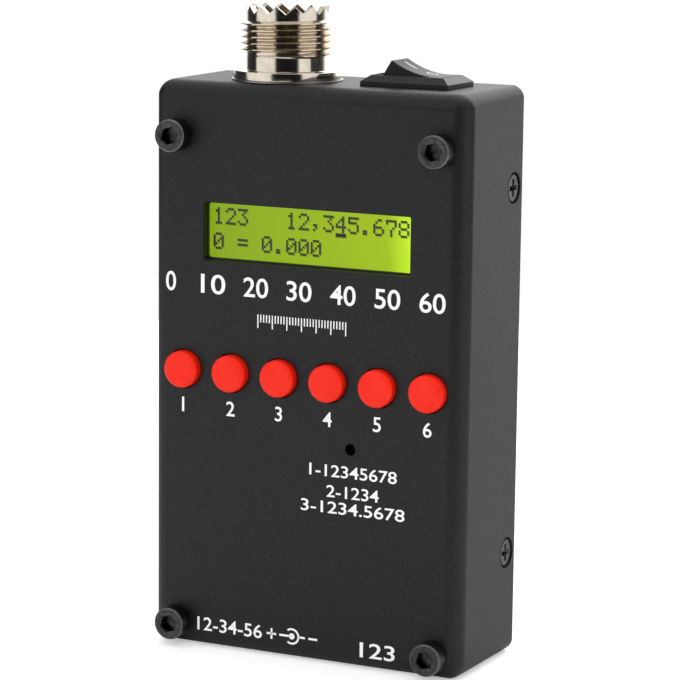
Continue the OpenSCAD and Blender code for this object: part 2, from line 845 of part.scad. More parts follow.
module switch_frame() {
    color("#232325") translate([switch_x, switch_y, top_z]) difference() {
        union() {
            translate([-bezel_w / 2, -bezel_d / 2, 0]) cube([bezel_w, bezel_d, bezel_edge_h]);
            translate([0, 0, bezel_edge_h]) bevel(bezel_w, bezel_d, bezel_bevel_h, bezel_bevel_run);
            translate([-switch_body_w / 2, -switch_body_d / 2, -switch_body_h])
                cube([switch_body_w, switch_body_d, switch_body_h]);
        }
        block([-rocker_slot_w / 2, -rocker_slot_d / 2, -pivot_drop - well_floor],
            [rocker_slot_w / 2, rocker_slot_d / 2, bezel_top + over]);
        translate([0, 0, -pivot_drop])
            bar_y(-switch_body_d / 2 - over, switch_body_d / 2 + over, pivot_d / 2 + pivot_gap);
    }
}

// Side view of the rocker about its pivot, both ends level.
module rocker_profile() {
    tip = rocker_tip_w / 2;
    foot = rocker_foot_w / 2;
    dish_r = (tip * tip + rocker_dish * rocker_dish) / (2 * rocker_dish);
    difference() {
        polygon([[-hub_r, -hub_r / 2], [hub_r, -hub_r / 2], [foot, hub_r], [foot, shoulder],
            [tip, rocker_rise], [-tip, rocker_rise], [-foot, shoulder], [-foot, hub_r]]);
        translate([0, rocker_rise - rocker_dish + dish_r]) circle(dish_r, $fn = 180);
    }
    circle(hub_r);
}

module rocker() {
    pin_reach = switch_body_d / 2 - 0.1;
    color("#28282b") translate([switch_x, switch_y, pivot_z]) rotate([0, rocker_tilt, 0]) {
        slab(-rocker_d / 2, rocker_d / 2) rocker_profile();
        bar_y(-pin_reach, pin_reach, pivot_d / 2);
    }
}

module switch_terminals() {
    base_z = top_z - switch_body_h;
    color("#c9b98c") for (s = [-1, 1]) translate([switch_x + s * blade_x, switch_y, 0])
        block([-blade_w / 2, -blade_t / 2, base_z - blade_len], [blade_w / 2, blade_t / 2, base_z]);
}

// ---- power inlet and data port ---------------------------------------------------

module inlet_body() {
    color("#1c1c1e") difference() {
        block([inlet_x - inlet_w / 2, board_rear_y, inlet_z],
            [inlet_x + inlet_w / 2, board_rear_y + inlet_h, inlet_z + inlet_len]);
        translate([inlet_x, inlet_y, inlet_z - over])
            cylinder(d = inlet_bore_d, h = inlet_bore_h + over);
        translate([inlet_x, inlet_y, inlet_z])
            cylinder(r = inlet_tail_r + fit_gap, h = inlet_len + over);
    }
}

// The pin's free part, with a thinner tail through the body behind it.
module inlet_pin() {
    tip = 0.4;
    color("#cfcfcf") translate([inlet_x, inlet_y, inlet_z]) {
        translate([0, 0, inlet_pin_set])
            cylinder(r1 = inlet_pin_d / 2 - tip, r2 = inlet_pin_d / 2, h = tip);
        translate([0, 0, inlet_pin_set + tip])
            cylinder(d = inlet_pin_d, h = inlet_bore_h - inlet_pin_set - tip);
        translate([0, 0, inlet_bore_h]) cylinder(r = inlet_tail_r, h = inlet_len - inlet_bore_h + 0.6);
    }
}

module port_shell() {
    inner_w = port_w - 2 * port_t;
    inner_h = port_h - 2 * port_t;
    color("#c4c6c8") translate([port_x, port_y, port_set]) difference() {
        linear_extrude(port_len) round_rect(port_w, port_h, 0.9);
        translate([0, 0, -over]) linear_extrude(port_len - port_t + over)
            round_rect(inner_w, inner_h, 0.9 - port_t);
    }
}

module port_tongue() {
    tongue_w = 3.9;
    tongue_t = 0.9;
    base_t = 2;
    inner_w = port_w - 2 * port_t - 0.04;
    inner_h = port_h - 2 * port_t - 0.04;
    floor_z = port_set + port_len - port_t;
    color("#18181a") translate([port_x, port_y, 0]) {
        translate([0, 0, floor_z - base_t]) linear_extrude(base_t)
            round_rect(inner_w, inner_h, 0.9 - port_t);
        block([-tongue_w / 2, -tongue_t / 2, port_set + 1.2],
            [tongue_w / 2, tongue_t / 2, floor_z - base_t / 2]);
    }
}

// ---- battery, chips and wires ----------------------------------------------------

module battery_cell() {
    edge = 1.6;
    color("#8fa0b4") slab(cell_rear_y - cell_t, cell_rear_y)
        translate([0, cell_z + cell_h / 2]) round_rect(cell_w, cell_h, edge);
}

module battery_pad() {
    inset = 4;
    color("#3a3a3a") slab(cell_rear_y, cover_y)
        translate([0, cell_z + cell_h / 2])
            square([cell_w - 2 * inset, cell_h - 2 * inset], center = true);
}

module battery_plug() {
    color("#efece2") block([plug_x - plug_w / 2, board_rear_y, plug_z - plug_h / 2],
        [plug_x + plug_w / 2, board_rear_y + plug_t, plug_z + plug_h / 2]);
}

// A flat chip on the front side of the main board.
module front_chip(x, z, w, h, t) {
    block([x - w / 2, board_front_y - t, z - h / 2], [x + w / 2, board_front_y, z + h / 2]);
}

module controller_chip() {
    color("#1b1b1d")
        front_chip(controller_x, controller_z, controller_w, controller_w, controller_t);
}

module generator_chip() {
    low_z = generator_z - generator_h / 2;
    color("#1b1b1d") block([-generator_w / 2, board_rear_y, low_z],
        [generator_w / 2, board_rear_y + generator_t, low_z + generator_h]);
}

module charger_chip() {
    color("#1b1b1d")
        front_chip(board_w / 2 - charger_inset, low_parts_z, charger_w, charger_h, charger_t);
}

module crystal_can() {
    color("#c4c6c8") slab(board_front_y - crystal_t, board_front_y)
        translate([controller_x, low_parts_z])
            round_rect(crystal_w, crystal_h, crystal_h / 2 - crystal_edge);
}

module capacitors() {
    color("#2c3f6b") for (i = [0, 1]) translate([i * capacitor_pitch, 0, low_parts_z])
        bar_y(board_front_y - capacitor_t, board_front_y, capacitor_d / 2);
}

// From the contact's tail to the main board.
module coax_lead() {
    color("#c87a3c")
        bent_wire(coax_x, coax_y, shank_end_z - tail_len, board_notch_z - lead_drop);
}

// From each switch terminal to the main board.
module switch_leads() {
    blade_end = top_z - switch_body_h - blade_len;
    color("#b02a20") for (s = [-1, 1])
        bent_wire(switch_x + s * blade_x, switch_y, blade_end, board_notch_z - 2 * lead_drop);
}

// From the battery's edge to its plug, two wires side by side.
module battery_leads() {
    y = board_rear_y + plug_t / 2;
    color("#b02a20") for (s = [-1, 1])
        translate([0, y, plug_z + s * wire_d]) bar_x(cell_w / 2, plug_x - plug_w / 2, wire_d / 2);
}

// ---- parts ----------------------------------------------------------------------

front_shell();
rear_cover();
panel_screws();
side_screws();
spacers();
board_screws();
main_board();
display_glass();
display_backlight();
display_board();
display_header();
push_switches();
key_stem(1);  // key_stem_1
key_stem(2);  // key_stem_2
key_stem(3);  // key_stem_3
key_stem(4);  // key_stem_4
key_stem(5);  // key_stem_5
key_stem(6);  // key_stem_6
key_cap(1);  // key_cap_1
key_cap(2);  // key_cap_2
key_cap(3);  // key_cap_3
key_cap(4);  // key_cap_4
key_cap(5);  // key_cap_5
key_cap(6);  // key_cap_6
charge_lamp();
coax_washer();
coax_shell();
coax_insulator();
coax_contact();
coax_nut();
switch_frame();
rocker();
switch_terminals();
inlet_body();
inlet_pin();
port_shell();
port_tongue();
battery_cell();
battery_pad();
battery_plug();
controller_chip();
generator_chip();
charger_chip();
crystal_can();
capacitors();
coax_lead();
switch_leads();
battery_leads();
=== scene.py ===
# Looks of the antenna analyzer: its finishes, its fine geometry, its studio light and its camera.
# Sizes are written in millimetres and turned to metres where a mesh is made.
import math

import bmesh
import bpy
from mathutils import Matrix, Vector


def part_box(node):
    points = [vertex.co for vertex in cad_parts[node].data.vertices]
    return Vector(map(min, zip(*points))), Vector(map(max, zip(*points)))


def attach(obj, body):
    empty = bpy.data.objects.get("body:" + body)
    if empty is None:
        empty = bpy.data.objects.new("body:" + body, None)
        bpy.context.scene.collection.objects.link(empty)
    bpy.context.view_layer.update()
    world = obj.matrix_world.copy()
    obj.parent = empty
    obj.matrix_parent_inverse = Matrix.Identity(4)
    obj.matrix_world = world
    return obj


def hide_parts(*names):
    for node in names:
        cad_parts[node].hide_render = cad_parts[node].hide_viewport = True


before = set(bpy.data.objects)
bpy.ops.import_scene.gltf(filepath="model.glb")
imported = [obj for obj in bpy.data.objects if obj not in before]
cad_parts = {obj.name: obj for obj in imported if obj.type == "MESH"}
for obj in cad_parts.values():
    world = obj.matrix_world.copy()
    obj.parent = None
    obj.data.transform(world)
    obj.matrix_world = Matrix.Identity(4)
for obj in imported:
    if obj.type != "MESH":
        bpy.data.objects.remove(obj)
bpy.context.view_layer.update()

MM = 0.001
# The case, in millimetres: its width and height, and where its front and rear faces lie.
CASE_W, CASE_H = 57.5, 96.5
FRONT_Y, REAR_Y = -11.5, 11.5
KEY_COUNT = 6


# ---- small tools ----------------------------------------------------------------

def srgb(hex_colour):
    """Turns a written sRGB colour into the linear one that shaders take."""
    parts = [int(hex_colour[i:i + 2], 16) / 255 for i in (1, 3, 5)]
    linear = [c / 12.92 if c <= 0.04045 else ((c + 0.055) / 1.055) ** 2.4 for c in parts]
    return (*linear, 1.0)


def add(tree, kind, inputs=None, **settings):
    """Adds one node. Inputs are plain values, or nodes and sockets to link from."""
    made = tree.nodes.new(kind)
    for name, value in settings.items():
        setattr(made, name, value)
    for name, value in (inputs or {}).items():
        if isinstance(value, bpy.types.Node):
            value = value.outputs[0]
        if isinstance(value, bpy.types.NodeSocket):
            tree.links.new(value, made.inputs[name])
        else:
            made.inputs[name].default_value = value
    return made


def ramp(tree, factor, stops):
    """Colours by position; each stop is a place from 0 to 1 and a colour or a grey level."""
    made = add(tree, "ShaderNodeValToRGB", {0: factor})
    bar = made.color_ramp
    while len(bar.elements) < len(stops):
        bar.elements.new(1.0)
    for element, (place, colour) in zip(bar.elements, stops):
        element.position = place
        element.color = colour if isinstance(colour, tuple) else (colour, colour, colour, 1.0)
    return made


def finish_of(name, **shader):
    """A new material with its tree and its main shader, whose constant sockets are set."""
    material = bpy.data.materials.new(name)
    material.use_nodes = True
    tree = material.node_tree
    surface = tree.nodes["Principled BSDF"]
    for socket, value in shader.items():
        surface.inputs[socket.replace("_", " ")].default_value = value
    return material, tree, surface


def grain(tree, size_mm, detail=2.0, stretch=(1, 1, 1)):
    """Noise whose lumps are about size_mm across, on the piece's own coordinates."""
    place = add(tree, "ShaderNodeTexCoord").outputs["Object"]
    turned = add(tree, "ShaderNodeMapping", {"Vector": place, "Scale": stretch})
    scale = 1 / (size_mm * MM)
    return add(tree, "ShaderNodeTexNoise", {"Vector": turned, "Scale": scale, "Detail": detail})


def coloured(tree, surface, factor, stops):
    """Gives the shader a base colour that changes with a factor."""
    tree.links.new(ramp(tree, factor, stops).outputs[0], surface.inputs["Base Color"])


def raised(tree, surface, height, depth_mm):
    """Gives the shader a bump of a real depth."""
    bump = add(tree, "ShaderNodeBump", {"Height": height, "Distance": depth_mm * MM})
    tree.links.new(bump.outputs[0], surface.inputs["Normal"])


# ---- finishes ---------------------------------------------------------------------

def powder_coat():
    # Fine-textured black polyester powder on aluminium sheet: the baked grains show as a dense,
    # shallow pebble about 0.4 mm across that breaks up the reflections. Paler specks are painted
    # highlights in the colour, for single grains that stand proud and catch the light. Both are drawn
    # coarser than the real grains, which would be too fine to show.
    material, tree, surface = finish_of("powder_coat", Roughness=0.48, IOR=1.5, Specular_IOR_Level=0.4)
    pebble = grain(tree, 0.42, 3.0)
    painted_glints = grain(tree, 0.3, 2.0)
    # Painted highlights: paler specks in the colour stand for glints of light on single grains.
    coloured(tree, surface, painted_glints, [
        (0.38, srgb("#040506")), (0.56, srgb("#08090a")), (0.74, srgb("#1f2124"))])
    raised(tree, surface, pebble, 0.055)
    return material


def black_oxide():
    # Blackened steel screw: a dark brown-black, oily satin with a fine, even roughness.
    material, tree, surface = finish_of("black_oxide_steel", Metallic=1.0, Roughness=0.36)
    stain = grain(tree, 0.6, 4.0)
    coloured(tree, surface, stain, [(0.3, srgb("#3c3b3b")), (0.7, srgb("#545352"))])
    raised(tree, surface, grain(tree, 0.12), 0.004)
    return material


def key_plastic():
    # Moulded ABS key cap: saturated orange-red, satin, with the mould's fine spark grain.
    material, tree, surface = finish_of("red_abs", Roughness=0.36, IOR=1.5, Specular_IOR_Level=0.25)
    shade = grain(tree, 2.5, 2.0)
    coloured(tree, surface, shade, [(0.3, srgb("#ef210c")), (0.7, srgb("#f42913"))])
    raised(tree, surface, grain(tree, 0.12, 1.0), 0.006)
    return material


def nickel():
    # Nickel-plated brass, turned: bright with a warm cast. Fine rings from the lathe and slow
    # waves of the plating make the mirrored streaks wander a little.
    material, tree, surface = finish_of("nickel_plate", Metallic=1.0, Roughness=0.13)
    smear = grain(tree, 1.5, 3.0)
    coloured(tree, surface, smear, [(0.3, srgb("#d9cebf")), (0.7, srgb("#e8dfd1"))])
    lathe_marks = grain(tree, 0.08, 1.0, (0.15, 0.15, 1.0))
    rings = add(tree, "ShaderNodeMath", {0: lathe_marks, 1: 0.15}, operation="MULTIPLY")
    waves = add(tree, "ShaderNodeMath", {0: rings, 1: grain(tree, 1.6, 1.0)}, operation="ADD")
    raised(tree, surface, waves, 0.013)
    return material


def two_tone(name, low, high, size_mm, bump_mm, **shader):
    """A plain finish: two close tones in lumps of a real size, and a bump of the same lumps."""
    material, tree, surface = finish_of(name, **shader)
    lumps = grain(tree, size_mm, 3.0)
    coloured(tree, surface, lumps, [(0.3, srgb(low)), (0.7, srgb(high))])
    raised(tree, surface, lumps, bump_mm)
    return material


def lit_display(name, strength):
    # Yellow-green backlit liquid-crystal glass: light enters at the right edge and fades to the left.
    material, tree, surface = finish_of(name, Roughness=0.25, Specular_IOR_Level=0.15)
    half_w = 19 * MM
    place = add(tree, "ShaderNodeSeparateXYZ", {0: add(tree, "ShaderNodeTexCoord").outputs["Object"]})
    along = add(tree, "ShaderNodeMapRange", {
        "Value": place.outputs["X"], "From Min": -half_w, "From Max": half_w})
    mottle = add(tree, "ShaderNodeMath", {0: grain(tree, 6.0), 1: 0.06}, operation="MULTIPLY")
    spread = add(tree, "ShaderNodeMath", {0: along, 1: mottle}, operation="ADD")
    glow = ramp(tree, spread, [
        (0.0, srgb("#88a91b")), (0.45, srgb("#96b71d")), (0.9, srgb("#a4c61c")), (1.0, srgb("#ccf52c"))])
    tree.links.new(glow.outputs[0], surface.inputs["Emission Color"])
    surface.inputs["Emission Strength"].default_value = strength
    surface.inputs["Base Color"].default_value = srgb("#151a05")
    return material


FINISH = {
    "coat": powder_coat(),
    "oxide": black_oxide(),
    "key": key_plastic(),
    "nickel": nickel(),
    "glass": lit_display("backlit_glass", 0.95),
    # The soft shade each dot throws on the reflector behind the glass: the same green, dimmer.
    "shade": lit_display("shaded_glass", 0.5),
    # Screen-printed epoxy ink: matt white, slightly uneven where the mesh laid it down.
    "ink": two_tone("white_screen_ink", "#f3f5f6", "#fbfcfd", 0.3, 0.004, Roughness=0.6),
    # Liquid crystal seen dark against the light: a green-black with no shine of its own.
    "segment": two_tone("dark_liquid_crystal", "#141a05", "#1d2508", 0.8, 0.001, Roughness=0.3),
    # Glass-filled nylon from a worn polished mould: black with a soft gloss and a slight ripple.
    "bezel": two_tone("soft_gloss_black_nylon", "#141415", "#19191b", 3.0, 0.006,
                      Roughness=0.3, Specular_IOR_Level=0.23),
    # The same nylon from a spark-eroded mould: satin black that catches a grey sheen.
    "rocker": two_tone("satin_black_nylon", "#19191b", "#202023", 0.18, 0.008,
                       Roughness=0.42, Specular_IOR_Level=0.16),
    # Pad-printed paint: a thin off-white film that dulls over the plastic's grain.
    "white_mark": two_tone("pad_printed_white", "#cfcfcc", "#dededb", 0.3, 0.002, Roughness=0.5),
    # Turned PTFE: waxy off-white, with the soft edge to its shine that wax has.
    "dielectric": two_tone("turned_ptfe", "#e6e3da", "#f0ede6", 0.8, 0.006, Roughness=0.45),
    # Silver-plated brass spring contact: pale, slightly yellow metal with a fine shine.
    "contact": two_tone("silvered_brass", "#c9b487", "#dac99e", 0.6, 0.003, Metallic=1.0, Roughness=0.25),
    # Zinc-plated steel washer: greyer and duller than the nickel that it lies under.
    "washer": two_tone("zinc_plated_steel", "#8f8b88", "#a5a19e", 0.8, 0.004,
                       Metallic=1.0, Roughness=0.34),
    # Solder mask over woven glass and epoxy: satin green with the weave just showing.
    "board": two_tone("green_solder_mask", "#17492c", "#1d5a36", 0.5, 0.01, Roughness=0.4),
    # Drawn hexagon brass: yellow and fairly bright, with faint lengthwise unevenness.
    "brass": two_tone("drawn_brass", "#b8924a", "#c9a55d", 0.5, 0.004, Metallic=1.0, Roughness=0.3),
    # Bright plated steel of the board's screws, the crystal's can, the inlet's pin and the port:
    # cool grey with a soft mirror.
    "steel": two_tone("bright_steel", "#b0b2b5", "#c2c4c7", 0.5, 0.004, Metallic=1.0, Roughness=0.28),
    # Milky acrylic light guide: pale yellow-green, smooth and slightly cloudy.
    "diffuser": two_tone("milky_acrylic", "#d9dfb0", "#e4eabf", 1.2, 0.003, Roughness=0.4),
    # The same black oxide in a paler, more metallic tone, laid as a ring on the socket screws' rolled
    # rims.
    "pale_rim": two_tone("rubbed_black_oxide", "#545251", "#6c6a68", 0.25, 0.004,
                     Metallic=0.6, Roughness=0.38),
    # Painted shade in the countersink: matt black with no shine, for the shadow in the gap round a flat
    # head.
    "seat": two_tone("blacked_countersink", "#0a0a0a", "#121212", 0.3, 0.004,
                     Roughness=0.9, Specular_IOR_Level=0.05),
    # Moulded black polyester of headers, sockets and linings: even, low sheen.
    "black": two_tone("moulded_black_pbt", "#1b1b1d", "#232326", 0.3, 0.008, Roughness=0.45),
    # Moulded acetal of the key stems: creamy white with a slippery sheen.
    "stem": two_tone("natural_acetal", "#d6d1c4", "#e0dccf", 0.6, 0.005, Roughness=0.4),
    # An unlit lamp: clear epoxy over a dark cup, so the hole reads nearly black.
    "lamp": two_tone("smoked_epoxy", "#171817", "#222321", 0.5, 0.004, Roughness=0.3),
    # Moulded nylon plug housing: warm white, faintly uneven.
    "housing": two_tone("white_nylon", "#e4e1d6", "#efede4", 0.5, 0.006, Roughness=0.45),
    # Laminated aluminium pouch: blue-grey metal with shallow, broad dents.
    "foil": two_tone("pouch_foil", "#93a0ae", "#a8b4c0", 3.0, 0.05, Metallic=0.8, Roughness=0.35),
    # Open-cell foam tape: dull dark grey, broken up by its pores.
    "foam": two_tone("open_cell_foam", "#2c2c2d", "#444446", 0.35, 0.1, Roughness=0.9),
    # Moulded epoxy chip package: matt charcoal with a fine, sandy surface.
    "chip": two_tone("epoxy_package", "#1a1a1b", "#232324", 0.2, 0.008, Roughness=0.6),
    # Shrunk plastic sleeve of a capacitor: glossy navy that follows the can's small dents.
    "sleeve": two_tone("shrunk_sleeve", "#25345c", "#2e3f6c", 1.0, 0.006, Roughness=0.3),
    # Bare copper wire, thinly tinned: pink-brown metal, brighter where the tin is thicker.
    "copper": two_tone("tinned_copper", "#b9774a", "#cf8a58", 0.5, 0.004, Metallic=1.0, Roughness=0.3),
    # Extruded PVC insulation: dull red with a soft shine along the wire.
    "wire": two_tone("red_pvc_wire", "#9c2219", "#b52c20", 0.8, 0.006, Roughness=0.4),
}


# ---- making meshes ------------------------------------------------------------------

def in_scene(name, data):
    """A new object at the origin of the scene."""
    made = bpy.data.objects.new(name, data)
    bpy.context.scene.collection.objects.link(made)
    return made


def coat_with(mesh, finish):
    """Leaves a mesh with one finish only."""
    mesh.materials.clear()
    mesh.materials.append(FINISH[finish])


def piece_from(name, mesh, body, finish=None, replaces=()):
    """Puts a finished mesh in the scene as a piece that rides on a body."""
    if finish:
        coat_with(mesh, finish)
    made = in_scene(name, mesh)
    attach(made, body)
    if replaces:
        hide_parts(*replaces)


def taken_from(carrier, name):
    """The plain mesh that a carrier object evaluates to. The carrier is removed."""
    graph = bpy.context.evaluated_depsgraph_get()
    made = bpy.data.meshes.new_from_object(carrier.evaluated_get(graph))
    made.name = name
    bpy.data.objects.remove(carrier)
    return made


def smooth_by_angle(mesh, degrees=35):
    """Rounds the shading over shallow edges and keeps the sharp ones."""
    for face in mesh.polygons:
        face.use_smooth = True
    shape = bmesh.new()
    shape.from_mesh(mesh)
    for edge in shape.edges:
        edge.smooth = len(edge.link_faces) == 2 and edge.calc_face_angle(0) < math.radians(degrees)
    shape.to_mesh(mesh)
    shape.free()


def modified(mesh, kind, **settings):
    """The plain mesh that one modifier, with these settings, makes of a mesh."""
    carrier = in_scene(mesh.name + "_carrier", mesh)
    modifier = carrier.modifiers.new("finish", kind)
    for setting, value in settings.items():
        setattr(modifier, setting, value)
    return taken_from(carrier, mesh.name)


def merge(mesh, reach_mm):
    """Joins points closer than the reach and takes out edges between faces that lie in one plane."""
    one_plane = math.radians(1)
    shape = bmesh.new()
    shape.from_mesh(mesh)
    bmesh.ops.remove_doubles(shape, verts=shape.verts, dist=reach_mm * MM)
    bmesh.ops.dissolve_degenerate(shape, edges=shape.edges, dist=reach_mm * MM / 2)
    bmesh.ops.dissolve_limit(shape, angle_limit=one_plane, verts=shape.verts, edges=shape.edges)
    shape.to_mesh(mesh)
    shape.free()


def mesh_of(name, build, degrees=35):
    """Runs a bmesh builder that works in millimetres and returns a closed, outward mesh in metres."""
    shape = bmesh.new()
    build(shape)
    same_point = 0.0005
    bmesh.ops.remove_doubles(shape, verts=shape.verts, dist=same_point)
    bmesh.ops.recalc_face_normals(shape, faces=shape.faces)
    bmesh.ops.scale(shape, vec=(MM, MM, MM), verts=shape.verts)
    mesh = bpy.data.meshes.new(name)
    shape.to_mesh(mesh)
    shape.free()
    smooth_by_angle(mesh, degrees)
    return mesh


def skin(shape, rings, closed=False):
    """Faces between neighbouring rings of points. In closed rings the last point joins the first."""
    for here, there in zip(rings, rings[1:]):
        for k in range(len(here) if closed else len(here) - 1):
            n = (k + 1) % len(here)
            shape.faces.new((here[k], there[k], there[n], here[n]))


def turn(shape, profile, steps=96, centre=(0, 0), lift=None, start=0.0):
    """Lathes a closed profile of (radius, height) round an upright axis. lift raises points by angle."""
    rings = []
    for i in range(steps):
        a = start + 2 * math.pi * i / steps
        ring = []
        for k, (r, z) in enumerate(profile):
            x, y = centre[0] + r * math.cos(a), centre[1] + r * math.sin(a)
            ring.append(shape.verts.new((x, y, z + (lift(k, a) if lift else 0))))
        rings.append(ring)
    for i in range(steps):
        here, there = rings[i], rings[(i + 1) % steps]
        for k in range(len(profile)):
            n = (k + 1) % len(profile)
            on_axis = profile[k][0] == 0 and profile[n][0] == 0
            if not on_axis:
                shape.faces.new((here[k], there[k], there[n], here[n]))


def rounded(points, radius, steps):
    """A closed profile with its corners rounded by a radius, or by less where a side is short."""
    most_of_a_side = 0.45
    out = []
    count = len(points)
    for i in range(count):
        p, q, s = Vector(points[i - 1]), Vector(points[i]), Vector(points[(i + 1) % count])
        reach = min(radius, (p - q).length * most_of_a_side, (s - q).length * most_of_a_side)
        a = q + (p - q).normalized() * reach
        b = q + (s - q).normalized() * reach
        for t in range(steps + 1):
            u = t / steps
            out.append(tuple(a * (1 - u) ** 2 + q * 2 * u * (1 - u) + b * u * u))
    return out


def corner_block(shape):
    """The case's outer form, a hair larger, with its front corners rounded like balls."""
    ball, clear, rear_corner, past_rear = 3.0, 0.06, 2.4, 1
    # Each outline is a rounded rectangle: its corners' radius, how far in their centres lie, its depth.
    outlines = []
    for degrees in (4, 16, 28, 40, 52, 64, 76, 90):
        a = math.radians(degrees)
        front_y = FRONT_Y + ball - (ball + clear) * math.cos(a)
        outlines.append(((ball + clear) * math.sin(a), ball, front_y))
    outlines.append((rear_corner, rear_corner - clear, REAR_Y + past_rear))
    half_w, half_h, corner_steps = CASE_W / 2, CASE_H / 2, 8
    rings = []
    for radius, inset, y in outlines:
        ring = []
        for corner, (sx, sz) in enumerate(((1, 1), (-1, 1), (-1, -1), (1, -1))):
            for step in range(corner_steps + 1):
                a = math.pi / 2 * (corner + step / corner_steps)
                ring.append(shape.verts.new((sx * (half_w - inset) + radius * math.cos(a), y,
                                             half_h + sz * (half_h - inset) + radius * math.sin(a))))
        rings.append(ring)
    for here, there in zip(rings, rings[1:]):
        for i in range(len(here)):
            n = (i + 1) % len(here)
            shape.faces.new((here[i], here[n], there[n], there[i]))
    shape.faces.new(rings[0])
    shape.faces.new(rings[-1])


def dressed(node, name, body, finish, soften_mm, segments=3, angle=40, kept_inside=None):
    """A merged copy of a CAD node, cut to a block if one is given, with its hard edges softened."""
    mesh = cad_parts[node].data.copy()
    mesh.name = name
    merge(mesh, 0.002)
    if kept_inside:
        block = bpy.data.objects.new(name + "_block", kept_inside)
        mesh = modified(mesh, "BOOLEAN", operation="INTERSECT", solver="EXACT", object=block)
        bpy.data.objects.remove(block)
        merge(mesh, 0.04)
    mesh = modified(mesh, "BEVEL", width=soften_mm * MM, segments=segments, limit_method="ANGLE",
                    angle_limit=math.radians(angle), use_clamp_overlap=True)
    smooth_by_angle(mesh, 30)
    # Shading is weighted by face area, so that a flat face stays flat right up to its rounded edges.
    mesh = modified(mesh, "WEIGHTED_NORMAL", mode="FACE_AREA", keep_sharp=True)
    piece_from(name, mesh, body, finish, (node,))


def grown(name, tree, sizes, points=()):
    """Runs a geometry tree on a set of points with its named sizes, and returns the plain mesh."""
    base = bpy.data.meshes.new(name)
    base.from_pydata([tuple(c * MM for c in p) for p in points], [], [])
    carrier = in_scene(name + "_carrier", base)
    pattern = carrier.modifiers.new("pattern", "NODES")
    pattern.node_group = tree
    for item in tree.interface.items_tree:
        if item.in_out == "INPUT" and item.name in sizes:
            pattern[item.identifier] = sizes[item.name]
    return taken_from(carrier, name)


def new_tree(name, sizes):
    """An empty geometry tree with its named inputs: lengths, counts, objects or materials."""
    tree = bpy.data.node_groups.new(name, "GeometryNodeTree")
    tree.interface.new_socket(name="Geometry", in_out="OUTPUT", socket_type="NodeSocketGeometry")
    tree.interface.new_socket(name="Points", in_out="INPUT", socket_type="NodeSocketGeometry")
    for label, kind in sizes.items():
        tree.interface.new_socket(name=label, in_out="INPUT", socket_type="NodeSocket" + kind)
    given = add(tree, "NodeGroupInput")
    return tree, given.outputs


def end_tree(tree, geometry, material):
    """Realizes the instances, sets the material and ends the tree."""
    real = add(tree, "GeometryNodeRealizeInstances", {0: geometry})
    coated = add(tree, "GeometryNodeSetMaterial", {"Geometry": real, "Material": material})
    add(tree, "NodeGroupOutput", {0: coated})


# ---- case -------------------------------------------------------------------------------

def make_case():
    """Shell and rear panel. The shell's outer corners are rounded like balls, as pressed sheet is."""
    outside = mesh_of("corner_block", corner_block)
    dressed("front_shell", "case_shell", "case", "coat", 0.22, kept_inside=outside)
    dressed("rear_cover", "rear_panel", "case", "coat", 0.3)


# ---- screws -------------------------------------------------------------------------------

def turn_outline(shape, steps, outline):
    """Turns an upright outline, from axis to axis, whose shape follows a rule of the angle."""
    rings = []
    for i in range(steps):
        a = 2 * math.pi * i / steps
        rings.append([shape.verts.new((r * math.cos(a), r * math.sin(a), z)) for r, z in outline(a)])
    skin(shape, rings + rings[:1])


def socket_screw(shape):
    """A socket head with a hexagon recess, a rolled rim and a drilled point, along +Z from its seat."""
    head_r, head_h, rim_r = 2.75, 3.0, 0.42
    recess_af, recess_h, point_r, point_h = 2.7, 2.1, 0.75, 0.42
    recess_r = recess_af / math.sqrt(3)
    rim = [(head_r - rim_r * (1 - math.cos(a)), head_h - rim_r * (1 - math.sin(a)))
           for a in (math.radians(t) for t in range(0, 91, 18))]

    def outline(a):
        sector = (a + math.pi / 6) % (math.pi / 3) - math.pi / 6
        wall = recess_r * math.cos(math.pi / 6) / math.cos(sector)
        floor_z = head_h - recess_h
        return [(0, 0), (head_r - 0.12, 0), (head_r, 0.12)] + rim + [
            (recess_r * 1.07, head_h - 0.02), (wall, head_h - 0.16), (wall, floor_z),
            (point_r, floor_z - 0.05), (0, floor_z - point_h)]
    turn_outline(shape, 72, outline)


def rubbed_edge(shape):
    """A thin ring that just covers the rolled rim of a socket screw."""
    middle_r, middle_z, reach = 2.33, 2.58, 0.435
    outside = [(middle_r + reach * math.sin(a), middle_z + reach * math.cos(a))
               for a in (math.radians(t) for t in range(20, 81, 12))]
    inside = [(2.5, 2.7)]
    turn(shape, outside + inside)


def flat_screw(shape):
    """A countersunk head with a cross recess, flush at Z = 0 and pointing to -Z."""
    head_r, shank_r, head_h, rim_h = 2.3, 1.45, 1.3, 0.06
    slot, arm, depth, lip, floor_share = 0.4, 1.45, 0.85, 0.07, 0.72

    def outline(a):
        never_zero = 1e-6
        c, s = abs(math.cos(a)) + never_zero, abs(math.sin(a)) + never_zero
        mouth = max(min(arm / c, slot / s), min(arm / s, slot / c))
        return [(0, -head_h), (shank_r, -head_h), (head_r, -rim_h), (head_r - rim_h, 0), (mouth + lip, 0),
                (mouth, -lip), (mouth * floor_share, -depth), (0, -depth)]
    turn_outline(shape, 96, outline)


def countersink_seat(shape):
    """A ring of painted shade in the countersink, between a flat head and the coat."""
    turn(shape, [(2.25, -0.5), (2.36, -0.5), (2.64, -0.16), (2.64, -0.1), (2.25, -0.1)])


def end_screw_tree(tree, given, places, turned):
    """Sets a screw out on every place, and ends the tree."""
    screw = add(tree, "GeometryNodeObjectInfo", {"Object": given["Screw"]}, transform_space="ORIGINAL")
    set_out = add(tree, "GeometryNodeInstanceOnPoints", {
        "Points": places, "Instance": screw.outputs["Geometry"], "Rotation": turned})
    end_tree(tree, set_out, given["Finish"])


